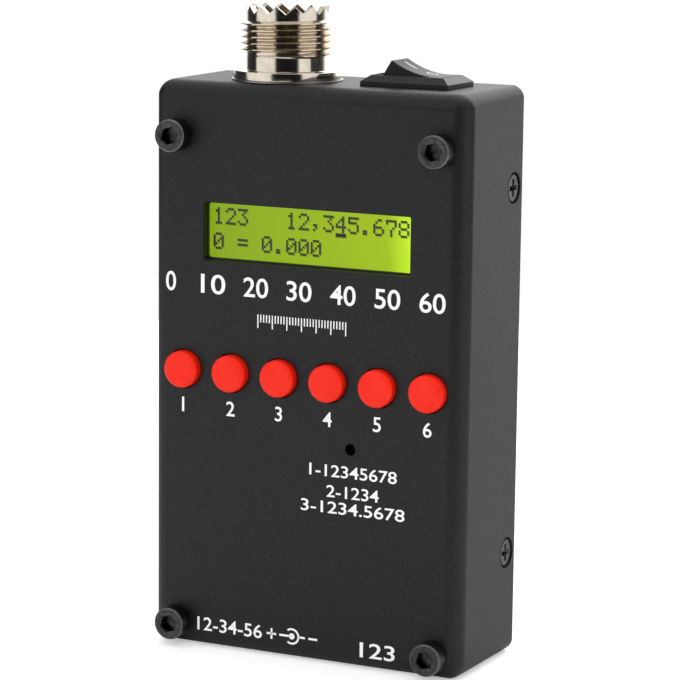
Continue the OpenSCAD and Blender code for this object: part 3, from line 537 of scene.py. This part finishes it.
def panel_screw_tree():
    """Four places at the corners of an upright rectangle on the panel."""
    tree, given = new_tree("screws_in_a_grid", {
        "Screw": "Object", "Width": "Float", "Height": "Float", "Centre": "Vector", "Turn": "Vector",
        "Finish": "Material"})
    grid = add(tree, "GeometryNodeMeshGrid", {
        "Size X": given["Width"], "Size Y": given["Height"], "Vertices X": 2, "Vertices Y": 2})
    places = add(tree, "GeometryNodeTransform", {
        "Geometry": grid, "Translation": given["Centre"], "Rotation": (math.pi / 2, 0, 0)})
    end_screw_tree(tree, given, places, given["Turn"])
    return tree


def side_screw_tree():
    """Two places on each side of the case, with the screws' heads turned outwards."""
    tree, given = new_tree("screws_on_both_sides", {
        "Screw": "Object", "Half width": "Float", "Depth": "Float", "Low": "Float", "High": "Float",
        "Finish": "Material"})
    corners = add(tree, "GeometryNodeMeshGrid", {
        "Size X": 2.0, "Size Y": 1.0, "Vertices X": 2, "Vertices Y": 2})
    spot = add(tree, "ShaderNodeSeparateXYZ", {0: add(tree, "GeometryNodeInputPosition")})
    x = add(tree, "ShaderNodeMath", {0: spot.outputs["X"], 1: given["Half width"]}, operation="MULTIPLY")
    z = add(tree, "ShaderNodeMapRange", {
        "Value": spot.outputs["Y"], "From Min": -0.5, "From Max": 0.5,
        "To Min": given["Low"], "To Max": given["High"]})
    where = add(tree, "ShaderNodeCombineXYZ", {"X": x, "Y": given["Depth"], "Z": z})
    places = add(tree, "GeometryNodeSetPosition", {"Geometry": corners, "Position": where})
    side = add(tree, "ShaderNodeMath", {0: x}, operation="SIGN")
    lean = add(tree, "ShaderNodeMath", {0: side, 1: math.pi / 2}, operation="MULTIPLY")
    end_screw_tree(tree, given, places, add(tree, "ShaderNodeCombineXYZ", {"Y": lean}))
    return tree


def screws_from(name, tree, shape, finish, sizes, replaces=()):
    """Sets one screw, or one part of it, out by a tree and puts the set on the case."""
    one = bpy.data.objects.new(name + "_one", mesh_of(name + "_one", shape))
    mesh = grown(name, tree, dict(sizes, Screw=one, Finish=FINISH[finish]))
    smooth_by_angle(mesh)
    piece_from(name, mesh, "case", None, replaces)


def make_screws():
    """Four socket screws on the panel and two flat ones on each side, each set out by a tree."""
    across, low, high, turned = 47.9, 4.05, 87.5, 0.26
    sizes = {"Width": across * MM, "Height": (high - low) * MM,
             "Centre": (0, FRONT_Y * MM, (low + high) / 2 * MM), "Turn": (math.pi / 2, turned, 0)}
    tree = panel_screw_tree()
    screws_from("panel_socket_screws", tree, socket_screw, "oxide", sizes, ("panel_screws",))
    # A paler ring of the oxide on each socket screw's rolled rim, lighter than the head's face.
    screws_from("socket_screw_edges", tree, rubbed_edge, "pale_rim", sizes)

    depth, low, high, sunk = 8.1, 17.9, 79.8, 0.2
    sizes = {"Half width": CASE_W / 2 * MM, "Depth": depth * MM, "Low": low * MM, "High": high * MM}
    sunk_sizes = dict(sizes, **{"Half width": (CASE_W / 2 - sunk) * MM})
    tree = side_screw_tree()
    screws_from("side_flat_screws", tree, flat_screw, "oxide", sunk_sizes, ("side_screws",))
    # A black ring of painted shade in each countersink, for the shadow in the gap round the head.
    screws_from("side_screw_seats", tree, countersink_seat, "seat", sizes)


# ---- keys ---------------------------------------------------------------------------------

def make_keys():
    """Round caps: a nearly flat face, a slight chamfer and a rounded edge, over a wider skirt."""
    cap_r, skirt_r, skirt_h, edge_r, edge_drop = 3.14, 3.74, 1.2, 0.5, 0.12
    # How far the face lies below its middle, by radius.
    face = [(0, 0), (1.2, 0.012), (2.1, 0.04), (2.44, 0.053), (2.5, 0.062), (2.56, 0.08), (2.78, 0.15)]
    for number in range(1, KEY_COUNT + 1):
        low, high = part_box("key_cap_%d" % number)
        front_y, back_y = low.y / MM, high.y / MM
        place = ((low.x + high.x) / 2 / MM, back_y, (low.z + high.z) / 2 / MM)

        def cap(shape):
            height = back_y - front_y
            edge_z = height - edge_drop - edge_r
            edge = [(cap_r - edge_r + edge_r * math.sin(a), edge_z + edge_r * math.cos(a))
                    for a in (math.radians(t) for t in range(30, 91, 10))]
            skirt = [(cap_r, skirt_h), (skirt_r, skirt_h), (skirt_r, 0), (0, 0)]
            turn(shape, [(r, height - drop) for r, drop in face] + edge + skirt, 72)
            forward = Matrix.Rotation(math.pi / 2, 3, "X")
            bmesh.ops.rotate(shape, cent=(0, 0, 0), matrix=forward, verts=shape.verts)
            bmesh.ops.translate(shape, vec=place, verts=shape.verts)
        name, body, node = ("%s_%d" % (word, number) for word in ("key_face", "key", "key_cap"))
        piece_from(name, mesh_of(name, cap, 40), body, "key", (node,))


# ---- display -----------------------------------------------------------------------------

# Dot patterns of the display's own character generator, drawn five columns wide.
DOTS = {
    "0": "01110 10001 10011 10101 11001 10001 01110",
    "1": "00100 01100 00100 00100 00100 00100 01110",
    "2": "01110 10001 00001 00010 00100 01000 11111",
    "3": "11111 00010 00100 00010 00001 10001 01110",
    "4": "00010 00110 01010 10010 11111 00010 00010",
    "5": "11111 10000 11110 00001 00001 10001 01110",
    "6": "00110 01000 10000 11110 10001 10001 01110",
    "7": "11111 10001 00001 00010 00100 00100 00100",
    "8": "01110 10001 10001 01110 10001 10001 01110",
    ".": "00000 00000 00000 00000 00000 01100 01100",
    ",": "00000 00000 00000 00000 01100 00100 01000",
    "=": "00000 00000 11111 00000 11111 00000 00000",
    " ": "00000 00000 00000 00000 00000 00000 00000",
}


def make_window_lining(face_y):
    """Matt black frame round the glass, just inside the window's edge, which keeps stray light out."""
    half_w, half_h, middle_z, corner_r, width = 19.7, 5.37, 71.65, 1.3, 0.76
    front_y, back_y, steps = face_y - 0.62, face_y - 0.08, 32

    def lining(shape):
        rows = []
        for i in range(steps):
            a = 2 * math.pi * (i + 0.5) / steps
            sx, sz = math.copysign(1, math.cos(a)), math.copysign(1, math.sin(a))
            row = []
            for inset, y in ((0.0, front_y), (width, front_y), (width, back_y), (0.0, back_y)):
                row.append(shape.verts.new((
                    sx * (half_w - corner_r) + (corner_r - inset) * math.cos(a), y,
                    middle_z + sz * (half_h - corner_r) + (corner_r - inset) * math.sin(a))))
            rows.append(row)
        skin(shape, rows + rows[:1], closed=True)
    piece_from("window_lining", mesh_of("window_lining", lining), "case", "black")


def display_dot_tree():
    """A thin square dot on every given point."""
    tree, given = new_tree("display_dots", {
        "Dot width": "Float", "Dot height": "Float", "Thickness": "Float", "Finish": "Material"})
    size = add(tree, "ShaderNodeCombineXYZ", {
        "X": given["Dot width"], "Y": given["Thickness"], "Z": given["Dot height"]})
    dot = add(tree, "GeometryNodeMeshCube", {"Size": size})
    laid = add(tree, "GeometryNodeInstanceOnPoints", {"Points": given["Points"], "Instance": dot})
    end_tree(tree, laid, given["Finish"])
    return tree


def make_display():
    """Two rows of sixteen characters in square dots, with a cursor line under one of them."""
    face_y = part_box("display_glass")[0].y / MM
    dot_w, dot_h, gap, thickness = 0.385, 0.4, 0.025, 0.02
    char_pitch, row_pitch = 2.27, 4.25
    left, top, dots_y = -18.27, 75.5, face_y - 0.012
    lit = []
    for row, text in enumerate(("123   12,345.678", "0 = 0.000       ")):
        for column, glyph in enumerate(text):
            for line, bits in enumerate(DOTS[glyph].split()):
                for bit, on in enumerate(bits):
                    if on == "1":
                        lit.append((left + column * char_pitch + (bit + 0.5) * dot_w, dots_y,
                                    top - row * row_pitch - (line + 0.5) * dot_h))
    cursor_column, cursor_lines = 10, (7.6, 8.3)
    for bit in range(5):
        for line in cursor_lines:
            lit.append((left + cursor_column * char_pitch + (bit + 0.5) * dot_w, dots_y,
                        top - line * dot_h))
    # Each dot's shade falls a little to the right, below and behind it.
    aside, behind = 0.13, 0.007
    thrown = [(x + aside, y + behind, z - aside) for x, y, z in lit]

    tree = display_dot_tree()
    sizes = {"Dot width": (dot_w - gap) * MM, "Dot height": (dot_h - gap) * MM,
             "Thickness": thickness * MM}
    for name, finish, dots in (("display_characters", "segment", lit),
                               ("character_shade", "shade", thrown)):
        mesh = grown(name, tree, dict(sizes, Finish=FINISH[finish]), dots)
        piece_from(name, mesh, "case")
    make_window_lining(face_y)


# ---- coaxial jack --------------------------------------------------------------------------

def thread_tree():
    """A ridge of V section that climbs a cylinder, and runs out flat at both ends."""
    tree, given = new_tree("thread_ridge", {
        "Turns": "Float", "Root radius": "Float", "Crest radius": "Float", "Pitch": "Float",
        "Start turn": "Float", "Centre": "Vector", "Finish": "Material"})
    root, pitch = given["Root radius"], given["Pitch"]
    length = add(tree, "ShaderNodeMath", {0: given["Turns"], 1: pitch}, operation="MULTIPLY")
    helix = add(tree, "GeometryNodeCurveSpiral", {
        "Resolution": 96, "Rotations": given["Turns"], "Start Radius": root, "End Radius": root,
        "Height": length, "Reverse": True})
    upright = add(tree, "GeometryNodeSetCurveNormal", {"Curve": helix}, mode="Z_UP")
    along = add(tree, "GeometryNodeSplineParameter")
    middle = add(tree, "ShaderNodeMath", {0: along.outputs["Factor"], 1: 0.5}, operation="SUBTRACT")
    from_middle = add(tree, "ShaderNodeMath", {0: middle}, operation="ABSOLUTE")
    full = add(tree, "ShaderNodeMapRange", {
        "Value": from_middle, "From Min": 0.5, "From Max": 0.45, "To Min": 0.05, "To Max": 1.0})
    depth = add(tree, "ShaderNodeMath", {0: given["Crest radius"], 1: root}, operation="SUBTRACT")
    half_foot = add(tree, "ShaderNodeMath", {0: pitch, 1: 0.5}, operation="MULTIPLY")
    half_crest = add(tree, "ShaderNodeMath", {0: pitch, 1: 0.06}, operation="MULTIPLY")
    sunk = -0.1 * MM
    corners = []
    for out, across, side in ((sunk, half_foot, 1.0), (depth, half_crest, 1.0),
                              (depth, half_crest, -1.0), (sunk, half_foot, -1.0)):
        height = add(tree, "ShaderNodeMath", {0: across, 1: side}, operation="MULTIPLY")
        corners.append(add(tree, "ShaderNodeCombineXYZ", {"X": out, "Y": height}))
    first_corner = 7
    ridge = add(tree, "GeometryNodeCurvePrimitiveQuadrilateral",
                {first_corner + i: corner for i, corner in enumerate(corners)}, mode="POINTS")
    swept = add(tree, "GeometryNodeCurveToMesh", {
        "Curve": upright, "Profile Curve": ridge, "Scale": full, "Fill Caps": True})
    spin = add(tree, "ShaderNodeCombineXYZ", {"Z": given["Start turn"]})
    in_place = add(tree, "GeometryNodeTransform", {
        "Geometry": swept, "Translation": given["Centre"], "Rotation": spin})
    end_tree(tree, in_place, given["Finish"])
    return tree


def make_jack():
    """Turned shell with its flange and notched crown, a 24-per-inch thread, and the washer under it."""
    low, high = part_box("coax_shell")
    cx, cy = -9.3, 0.0
    foot_z, peak_z, flange_z = low.z / MM, high.z / MM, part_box("coax_washer")[1].z / MM
    flange_t, neck_h, thread_h = 1.45, 2.4, 5.8
    neck_z = flange_z + flange_t
    thread_z = neck_z + neck_h
    crown_z = thread_z + thread_h
    bore_r, shank_r, flange_r, neck_r, mouth_r, mouth_z = 4.5, 6.0, 9.0, 6.9, 5.9, 99.3
    edge_r, crest_r, pitch = 0.16, 7.9375, 25.4 / 24
    teeth, notch, first_notch, steps_a_tooth = 14, 1.3, math.radians(11), 16

    def body(shape):
        outline = rounded([
            (bore_r, foot_z), (shank_r, foot_z), (shank_r, flange_z), (flange_r, flange_z),
            (flange_r, neck_z), (neck_r, neck_z), (neck_r, thread_z)], edge_r, 3)
        wall = [(neck_r, thread_z + 1), (neck_r, crown_z - 1), (neck_r, crown_z + 0.6)]
        tooth = [(neck_r, peak_z - 0.08), (neck_r - 0.07, peak_z),
                 (mouth_r + 0.06, peak_z), (mouth_r, peak_z - 0.06)]
        inside = [(mouth_r, peak_z - notch - 0.4), (mouth_r, mouth_z), (bore_r, mouth_z)]
        profile = outline + wall + tooth + inside
        first = len(outline) + len(wall)

        def lift(k, a):
            if not first <= k < first + len(tooth):
                return 0
            share = abs(((a - first_notch) * teeth / (2 * math.pi) + 0.5) % 1.0 - 0.5) * 2
            return -notch * (1 - share * profile[k][0] / neck_r)
        turn(shape, profile, teeth * steps_a_tooth, (cx, cy), lift, first_notch)
    piece_from("jack_shell", mesh_of("jack_shell", body, 24), "case", "nickel", ("coax_shell",))

    # The ridge starts just above the neck and ends just inside the crown. Its turn puts a crest
    # at the height where the photograph shows one.
    first_crest, last_crest, crest_at_zero = thread_z + 0.05, crown_z + 0.15, thread_z - 0.63
    mesh = grown("jack_thread", thread_tree(), {
        "Turns": (last_crest - first_crest) / pitch, "Pitch": pitch * MM,
        "Root radius": neck_r * MM, "Crest radius": crest_r * MM,
        "Start turn": 2 * math.pi * (first_crest - crest_at_zero) / pitch,
        "Centre": (cx * MM, cy * MM, first_crest * MM), "Finish": FINISH["nickel"]})
    # The sweep leaves this ridge inside out.
    mesh.flip_normals()
    smooth_by_angle(mesh, 25)
    piece_from("jack_thread", mesh, "case")
    dressed("coax_washer", "jack_washer", "case", "washer", 0.06)


# ---- power switch ----------------------------------------------------------------------------

def make_switch():
    """Bezel and rocker with the mould's soft edges, and the bar and ring printed in the rocker's dish."""
    dressed("switch_frame", "switch_bezel", "case", "bezel", 0.22, 4)
    dressed("rocker", "rocker_face", "rocker", "rocker", 0.25, 4, 35)
    pivot, tilt = Vector((14.2, 0.6, 93.95)), math.radians(14.6)
    tip_w, rise, dish = 9.65, 5.85, 0.8
    dish_r = ((tip_w / 2) ** 2 + dish ** 2) / (2 * dish)
    film, sunk = 0.03, -0.05

    def in_dish(shape, outline):
        """Lays a strip, given by its outer and inner points, on the dish as a film of paint."""
        rows = []
        for outer, inner in outline:
            row = []
            for lift, (x, y) in ((film, outer), (film, inner), (sunk, inner), (sunk, outer)):
                dish_z = rise - dish + dish_r - math.sqrt(dish_r * dish_r - x * x)
                row.append(shape.verts.new((x, y, dish_z + lift)))
            rows.append(row)
        return rows

    def marks(shape):
        bar_x, bar_len, bar_steps = -3.95, 2.4, 12
        ring_x, ring_y, ring_steps = 1.36, 0.45, 48
        bar = in_dish(shape, [
            tuple((bar_x + bar_len * i / bar_steps, y) for y in (0.7, 0.2))
            for i in range(bar_steps + 1)])
        ring = in_dish(shape, [
            tuple((ring_x + r * math.cos(a), ring_y + r * math.sin(a)) for r in (1.05, 0.7))
            for a in (2 * math.pi * i / ring_steps for i in range(ring_steps))])
        skin(shape, bar, closed=True)
        skin(shape, ring + ring[:1], closed=True)
        shape.faces.new(bar[0])
        shape.faces.new(bar[-1])
        bmesh.ops.rotate(shape, cent=(0, 0, 0), matrix=Matrix.Rotation(tilt, 3, "Y"), verts=shape.verts)
        bmesh.ops.translate(shape, vec=pivot, verts=shape.verts)
    piece_from("rocker_marks", mesh_of("rocker_marks", marks), "rocker", "white_mark")


# ---- prints on the panel -----------------------------------------------------------------------

# The ink's surface, and its foot a hair inside the coat.
INK_Y, INK_FOOT_Y = FRONT_Y - 0.02, FRONT_Y + 0.01


def number_mesh(text, height, width=None):
    """Plain bold numbers as a thin slab of ink, fitted to a height and a width, round the origin."""
    curve = bpy.data.curves.new("numbers", "FONT")
    curve.body = text
    capital_share, boldness = 0.72, 0.012
    curve.size = height / capital_share
    curve.offset = height * boldness
    curve.extrude = 0.02
    curve.align_x = "CENTER"
    mesh = taken_from(in_scene("numbers", curve), "numbers")
    xs = [v.co.x for v in mesh.vertices]
    ys = [v.co.y for v in mesh.vertices]
    fit_x = width / (max(xs) - min(xs)) if width else 1
    fit = Matrix.Diagonal((fit_x, height / (max(ys) - min(ys)), 1, 1))
    middle = Matrix.Translation((-(max(xs) + min(xs)) / 2, -(max(ys) + min(ys)) / 2, 0))
    mesh.transform(Matrix.Rotation(math.pi / 2, 4, "X") @ fit @ middle)
    return mesh


def make_prints():
    """Screen-printed numbers, a ruler and the barrel's polarity sign, where the panel is printed."""
    ink = bmesh.new()

    def numbers(text, x, z, height, width=None):
        mesh = number_mesh(text, height, width)
        mesh.transform(Matrix.Translation((x, INK_Y + 0.01, z)))
        ink.from_mesh(mesh)

    def bar(x0, x1, z0, z1):
        corners = [(x, y, z) for x in (x0, x1) for y in (INK_Y, INK_FOOT_Y) for z in (z0, z1)]
        bmesh.ops.convex_hull(ink, input=[ink.verts.new(c) for c in corners])

    def arc(x, z, outer, inner, first, last):
        steps = 40
        rows = []
        for i in range(steps + 1):
            a = math.radians(first + (last - first) * i / steps)
            rows.append([ink.verts.new((x + r * math.cos(a), y, z + r * math.sin(a))) for r, y in (
                (outer, INK_Y), (inner, INK_Y), (inner, INK_FOOT_Y), (outer, INK_FOOT_Y))])
        skin(ink, rows, closed=True)
        ink.faces.new(rows[0])
        ink.faces.new(rows[-1])

    # Under the display: a scale from 0 to 60, and a ruler under it.
    scale_x, scale_z, scale_pitch = -25.1, 62.8, 0.803
    for step in range(0, 61, 10):
        numbers(str(step), scale_x + step * scale_pitch, scale_z, 3.3, 1.9 if step == 0 else 4.6)
    ruler_x, ruler_top, tick_pitch, tick_w = -8.6, 58.4, 0.27, 0.2
    for step in range(0, 61, 2):
        x = ruler_x + step * tick_pitch
        tick_h = 2.3 if step % 10 == 0 else 1.3
        bar(x - tick_w / 2, x + tick_w / 2, ruler_top - tick_h, ruler_top)
    # Under each key, its number.
    key_pitch, middle_key = 9.05, (KEY_COUNT + 1) / 2
    for number in range(1, KEY_COUNT + 1):
        numbers(str(number), (number - middle_key) * key_pitch - 0.1, 41.9, 2.5)
    # Under the lamp, three lines of plain numbers.
    numbers("1-12345678", 9.2, 33.3, 2.05, 16.0)
    numbers("2-1234", 9.2, 29.85, 2.05, 9.6)
    numbers("3-1234.5678", 9.2, 27.1, 2.05, 19.0)
    # Over the inlet and the port, at the bottom edge.
    numbers("12-34-56", -13.65, 4.1, 2.35, 12.4)
    numbers("123", 14.1, 3.5, 2.6, 6.4)
    # The polarity sign: plus, line, broken ring round a dot, line, minus.
    line_z0, line_z1 = 3.89, 4.25
    bar(-6.52, -4.72, line_z0, line_z1)
    bar(-5.8, -5.44, 3.15, 4.99)
    bar(-4.14, -2.2, line_z0, line_z1)
    bar(-0.5, 0.68, line_z0, line_z1)
    bar(1.34, 2.99, line_z0, line_z1)
    arc(-1.79, 4.07, 1.42, 1.08, -128, 128)
    arc(-1.79, 4.07, 0.54, 0.05, 0, 359.9)

    bmesh.ops.recalc_face_normals(ink, faces=ink.faces)
    bmesh.ops.scale(ink, vec=(MM, MM, MM), verts=ink.verts)
    mesh = bpy.data.meshes.new("panel_numbers")
    ink.to_mesh(mesh)
    ink.free()
    piece_from("panel_numbers", mesh, "case", "ink")


# ---- CAD nodes that stay as they are -------------------------------------------------------------

NODE_FINISH = {
    "display_glass": "glass", "display_backlight": "diffuser", "display_board": "board",
    "display_header": "black", "main_board": "board", "board_screws": "steel", "spacers": "brass",
    "push_switches": "black", "charge_lamp": "lamp", "coax_insulator": "dielectric",
    "coax_contact": "contact", "coax_nut": "nickel", "coax_lead": "copper", "switch_terminals": "contact",
    "switch_leads": "wire", "inlet_body": "black", "inlet_pin": "steel", "port_shell": "steel",
    "port_tongue": "black", "battery_cell": "foil", "battery_pad": "foam", "battery_plug": "housing",
    "battery_leads": "wire", "controller_chip": "chip", "generator_chip": "chip",
    "charger_chip": "chip", "crystal_can": "steel", "capacitors": "sleeve",
}


def finish_nodes():
    """Gives the solids that need no dressing their finishes."""
    for node, finish in NODE_FINISH.items():
        coat_with(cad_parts[node].data, finish)
    for number in range(1, KEY_COUNT + 1):
        coat_with(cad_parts["key_stem_%d" % number].data, "stem")


# ---- studio ------------------------------------------------------------------------------------------

def make_floor():
    """A small round white table that keeps a soft shadow under the analyzer."""
    material, tree, surface = finish_of("white_sheet", Roughness=0.9)
    coloured(tree, surface, grain(tree, 30.0), [(0.3, srgb("#f4f4f4")), (0.7, srgb("#f8f8f8"))])
    path = add(tree, "ShaderNodeLightPath")
    lift = add(tree, "ShaderNodeMath", {0: path.outputs["Is Camera Ray"], 1: 0.4}, operation="MULTIPLY")
    surface.inputs["Emission Color"].default_value = (1, 1, 1, 1)
    tree.links.new(lift.outputs[0], surface.inputs["Emission Strength"])
    radius, below, sides = 340 * MM, 0.02 * MM, 64
    rim = [2 * math.pi * i / sides for i in range(sides)]
    mesh = bpy.data.meshes.new("floor")
    points = [(radius * math.cos(a), radius * math.sin(a), -below) for a in rim]
    mesh.from_pydata(points, [], [tuple(range(sides))])
    mesh.materials.append(material)
    in_scene("floor", mesh)


def make_world():
    """A white cove with two softboxes beside the camera, dark cloth between them, and open light above.

    The camera sees it plain white. The metal mirrors it as it is, which gives the jack its dark streaks.
    """
    world = bpy.data.worlds.new("studio")
    bpy.context.scene.world = world
    world.use_nodes = True
    tree = world.node_tree
    tree.nodes.clear()
    around = add(tree, "ShaderNodeTexCoord").outputs["Generated"]
    direction = add(tree, "ShaderNodeSeparateXYZ", {0: around})
    # The azimuth is 0 towards the camera's side and grows to the right, from -pi to pi.
    back = add(tree, "ShaderNodeMath", {0: direction.outputs["Y"], 1: -1.0}, operation="MULTIPLY")
    azimuth = add(tree, "ShaderNodeMath", {0: direction.outputs["X"], 1: back}, operation="ARCTAN2")
    round_share = add(tree, "ShaderNodeMapRange", {
        "Value": azimuth, "From Min": -math.pi, "From Max": math.pi})

    # White walls and dark cloths, by their azimuths in degrees.
    walls = ((-180, 1.0), (-135, 1.0), (-118, 0.06), (-73, 0.01), (-67, 1.0), (-11, 1.0), (-5, 0.01),
             (55, 0.01), (61, 1.0), (110, 1.0), (116, 0.02), (140, 0.08), (162, 1.0), (180, 1.0))
    wall_light = ramp(tree, round_share, [((degrees + 180) / 360, level) for degrees, level in walls])
    height = add(tree, "ShaderNodeMapRange", {
        "Value": direction.outputs["Z"], "From Min": 0.5, "From Max": 0.85})
    light = add(tree, "ShaderNodeMix", {
        "Factor": height, 6: wall_light, 7: (1.0, 1.0, 1.0, 1.0)}, data_type="RGBA")

    # The wall behind the object is lit more, and most above the table.
    from_front = add(tree, "ShaderNodeMath", {0: azimuth}, operation="ABSOLUTE")
    behind = add(tree, "ShaderNodeMapRange", {"Value": from_front, "From Min": 2.45, "From Max": 2.8})
    extra = add(tree, "ShaderNodeMapRange", {
        "Value": direction.outputs["Z"], "From Min": 0.0, "From Max": 0.15,
        "To Min": 0.85, "To Max": 1.45})
    strength = add(tree, "ShaderNodeMath", {0: behind, 1: extra, 2: 1.0}, operation="MULTIPLY_ADD")

    room = add(tree, "ShaderNodeBackground", {"Color": light.outputs[2], "Strength": strength})
    seen = add(tree, "ShaderNodeBackground", {"Color": (1, 1, 1, 1), "Strength": 1.0})
    path = add(tree, "ShaderNodeLightPath")
    shown = add(tree, "ShaderNodeMixShader", {0: path.outputs["Is Camera Ray"], 1: room, 2: seen})
    add(tree, "ShaderNodeOutputWorld", {"Surface": shown})


def make_lamp():
    """A broad soft lamp over the camera that lights the colours and stays out of the gloss."""
    lamp = bpy.data.lights.new("front_softbox", "AREA")
    lamp.shape = "DISK"
    lamp.size = 0.9
    lamp.energy = 9.0
    softbox = in_scene("front_softbox", lamp)
    place, target = Vector((0.35, -1.3, 0.75)), Vector((0, 0, 0.05))
    facing = (place - target).to_track_quat("Z", "Y").to_matrix().to_4x4()
    softbox.matrix_world = Matrix.Translation(place) @ facing
    softbox.visible_glossy = False


def make_camera():
    """The photograph's viewpoint, fitted to it: from the right and a little above, with a long lens."""
    azimuth, elevation, roll = (math.radians(a) for a in (25.859, 9.870, 0.664))
    aim, distance = Vector((1.0127, 0, 53.1612)), 492.377
    picture_px, focal_px, sensor_w = 680, 2924.7, 36
    level = math.cos(elevation)
    back = Vector((math.sin(azimuth) * level, -math.cos(azimuth) * level, math.sin(elevation)))
    right = Vector((math.cos(azimuth), math.sin(azimuth), 0))
    up = back.cross(right)
    rolled_right = math.cos(roll) * right + math.sin(roll) * up
    rolled_up = -math.sin(roll) * right + math.cos(roll) * up
    lens = bpy.data.cameras.new("photograph_view")
    lens.sensor_width = sensor_w
    lens.lens = focal_px * sensor_w / picture_px
    lens.clip_start, lens.clip_end = 0.01, 20
    camera = in_scene("photograph_view", lens)
    turned = Matrix((rolled_right, rolled_up, back)).transposed().to_4x4()
    camera.matrix_world = Matrix.Translation(aim * MM + back * distance * MM) @ turned
    bpy.context.scene.camera = camera


bpy.context.scene.view_settings.view_transform = "Standard"
make_camera()
make_world()
make_lamp()
make_floor()
make_case()
make_screws()
make_keys()
make_display()
make_jack()
make_switch()
make_prints()
finish_nodes()
